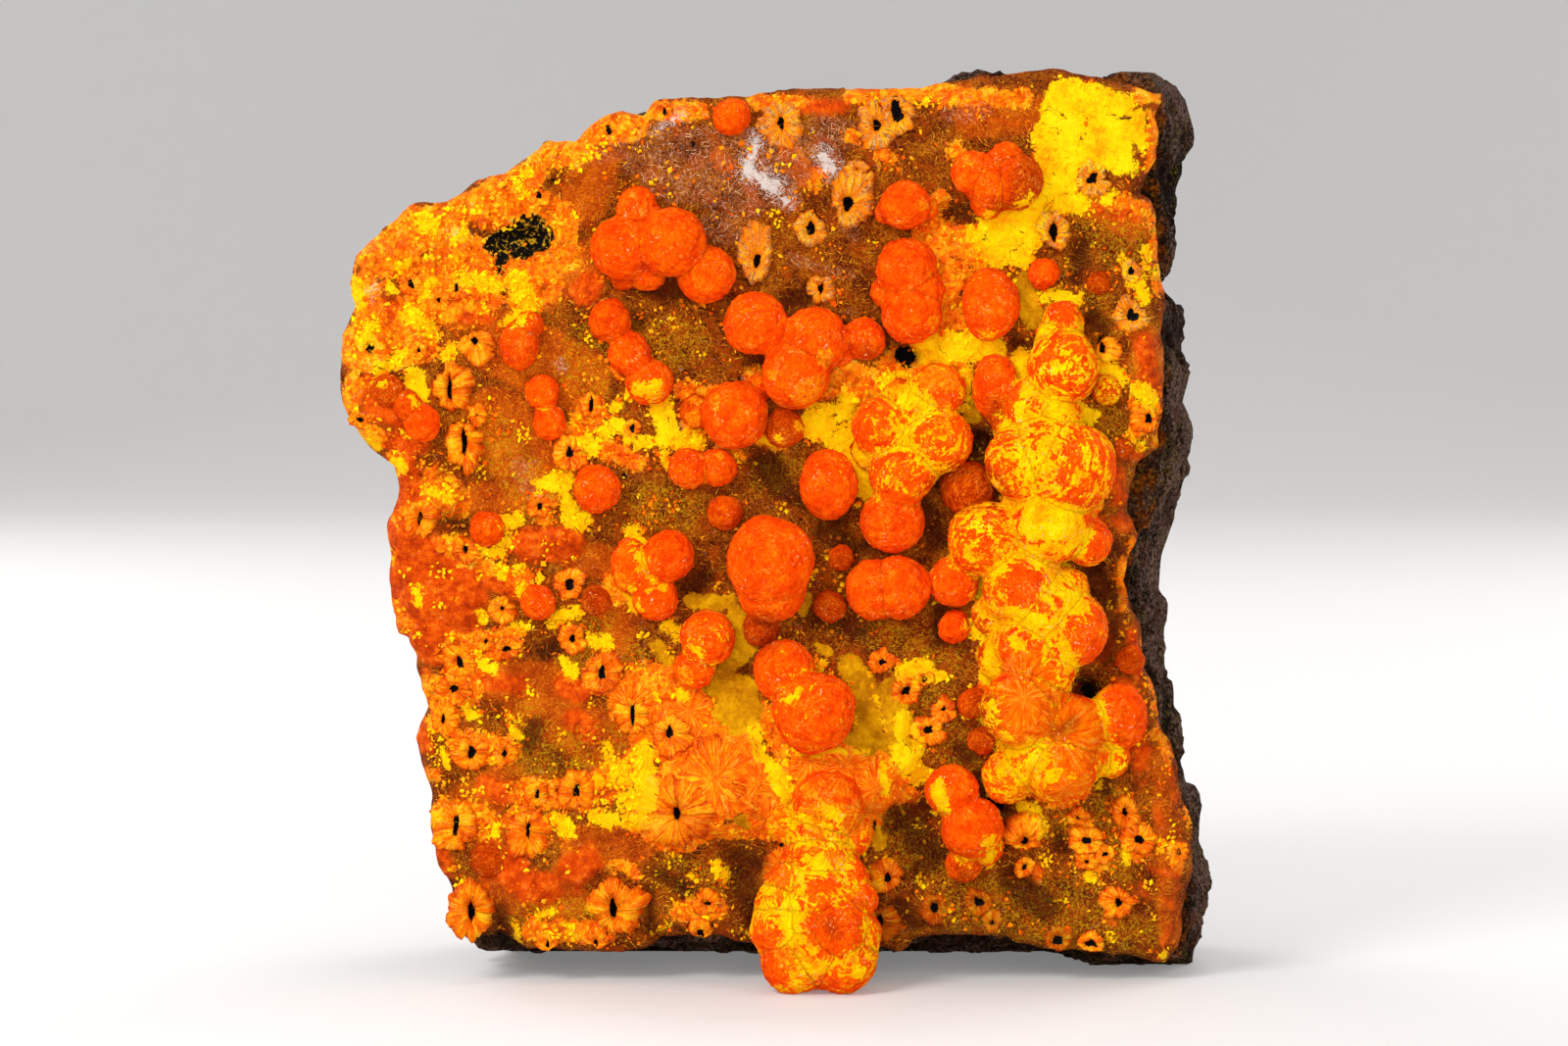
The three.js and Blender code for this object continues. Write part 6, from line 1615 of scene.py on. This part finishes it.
# Square area lights aimed at the object: name, place in mm from its centre, power, size in mm.
LIGHTS = [
    ("key", (-160, -230, 190), 0.78, 120),
    ("fill", (330, -330, 140), 0.28, 220),
    ("front", (0, -330, 60), 0.38, 160),
    ("top", (0, 20, 300), 0.38, 200),
    ("back_left", (-200, 230, 120), 0.6, 200),
    ("back_right", (220, 220, 120), 0.5, 200),
]
SKY = 0.16
FLOOR_COLOUR = (0.6, 0.59, 0.58, 1)
FLOOR_GLOW = 0.18
WHITE = (1, 1, 1, 1)
CAMERA_TARGET = Vector(((0.25 + SHIFT[0]) * MM, SHIFT[1] * MM, 23.6 * MM))
CAMERA_DISTANCE = 322 * MM
CAMERA_ELEVATION = math.radians(4)


def build_floor():
    """A pale floor that curves up into a low wall all round."""
    flat_radius, bend, wall, steps, sides = 0.36, 0.22, 0.5, 16, 96
    profile = [(0.02, 0.0), (flat_radius, 0.0)]
    for n in range(1, steps + 1):
        angle = math.pi / 2 * n / steps
        profile.append((flat_radius + bend * math.sin(angle), bend * (1 - math.cos(angle))))
    profile.append((flat_radius + bend, wall))
    turns = [2 * math.pi * k / sides for k in range(sides)]
    points = [(r * math.cos(t), r * math.sin(t), z) for r, z in profile for t in turns]
    mesh = bpy.data.meshes.new("floor")
    mesh.from_pydata(points, [], [tuple(range(sides)), *ring_faces(len(profile), sides)])
    mesh.shade_smooth()
    s = Shader("floor", 0.6)
    s.surface.inputs["Base Color"].default_value = FLOOR_COLOUR
    s.surface.inputs["Emission Color"].default_value = WHITE
    s.surface.inputs["Emission Strength"].default_value = FLOOR_GLOW
    mesh.materials.append(s.material)
    floor = add_object("floor", mesh)


def aim(made, place, target):
    made.location = place
    made.rotation_euler = (target - made.location).to_track_quat("-Z", "Y").to_euler()


def add_light(name, place, power, size):
    data = bpy.data.lights.new(name, "AREA")
    data.energy = power
    data.size = size * MM
    aim(add_object(name, data), CENTRE + Vector(place) * MM, CENTRE)


def build_camera():
    """Level with the object's middle and 4 degrees up, as the photograph was taken."""
    data = bpy.data.cameras.new("camera")
    data.sensor_width = 36
    data.lens = 145
    data.clip_start = 0.01
    camera = add_object("camera", data)
    back = Vector((0, -math.cos(CAMERA_ELEVATION), math.sin(CAMERA_ELEVATION)))
    aim(camera, CAMERA_TARGET + back * CAMERA_DISTANCE, CAMERA_TARGET)
    bpy.context.scene.camera = camera


def build_world():
    world = bpy.data.worlds.new("world")
    world.use_nodes = True
    world.node_tree.nodes["Background"].inputs["Color"].default_value = WHITE
    world.node_tree.nodes["Background"].inputs["Strength"].default_value = SKY
    bpy.context.scene.world = world


build_floor()
for light in LIGHTS:
    add_light(*light)
build_camera()
build_world()
bpy.context.scene.view_settings.view_transform = "Standard"
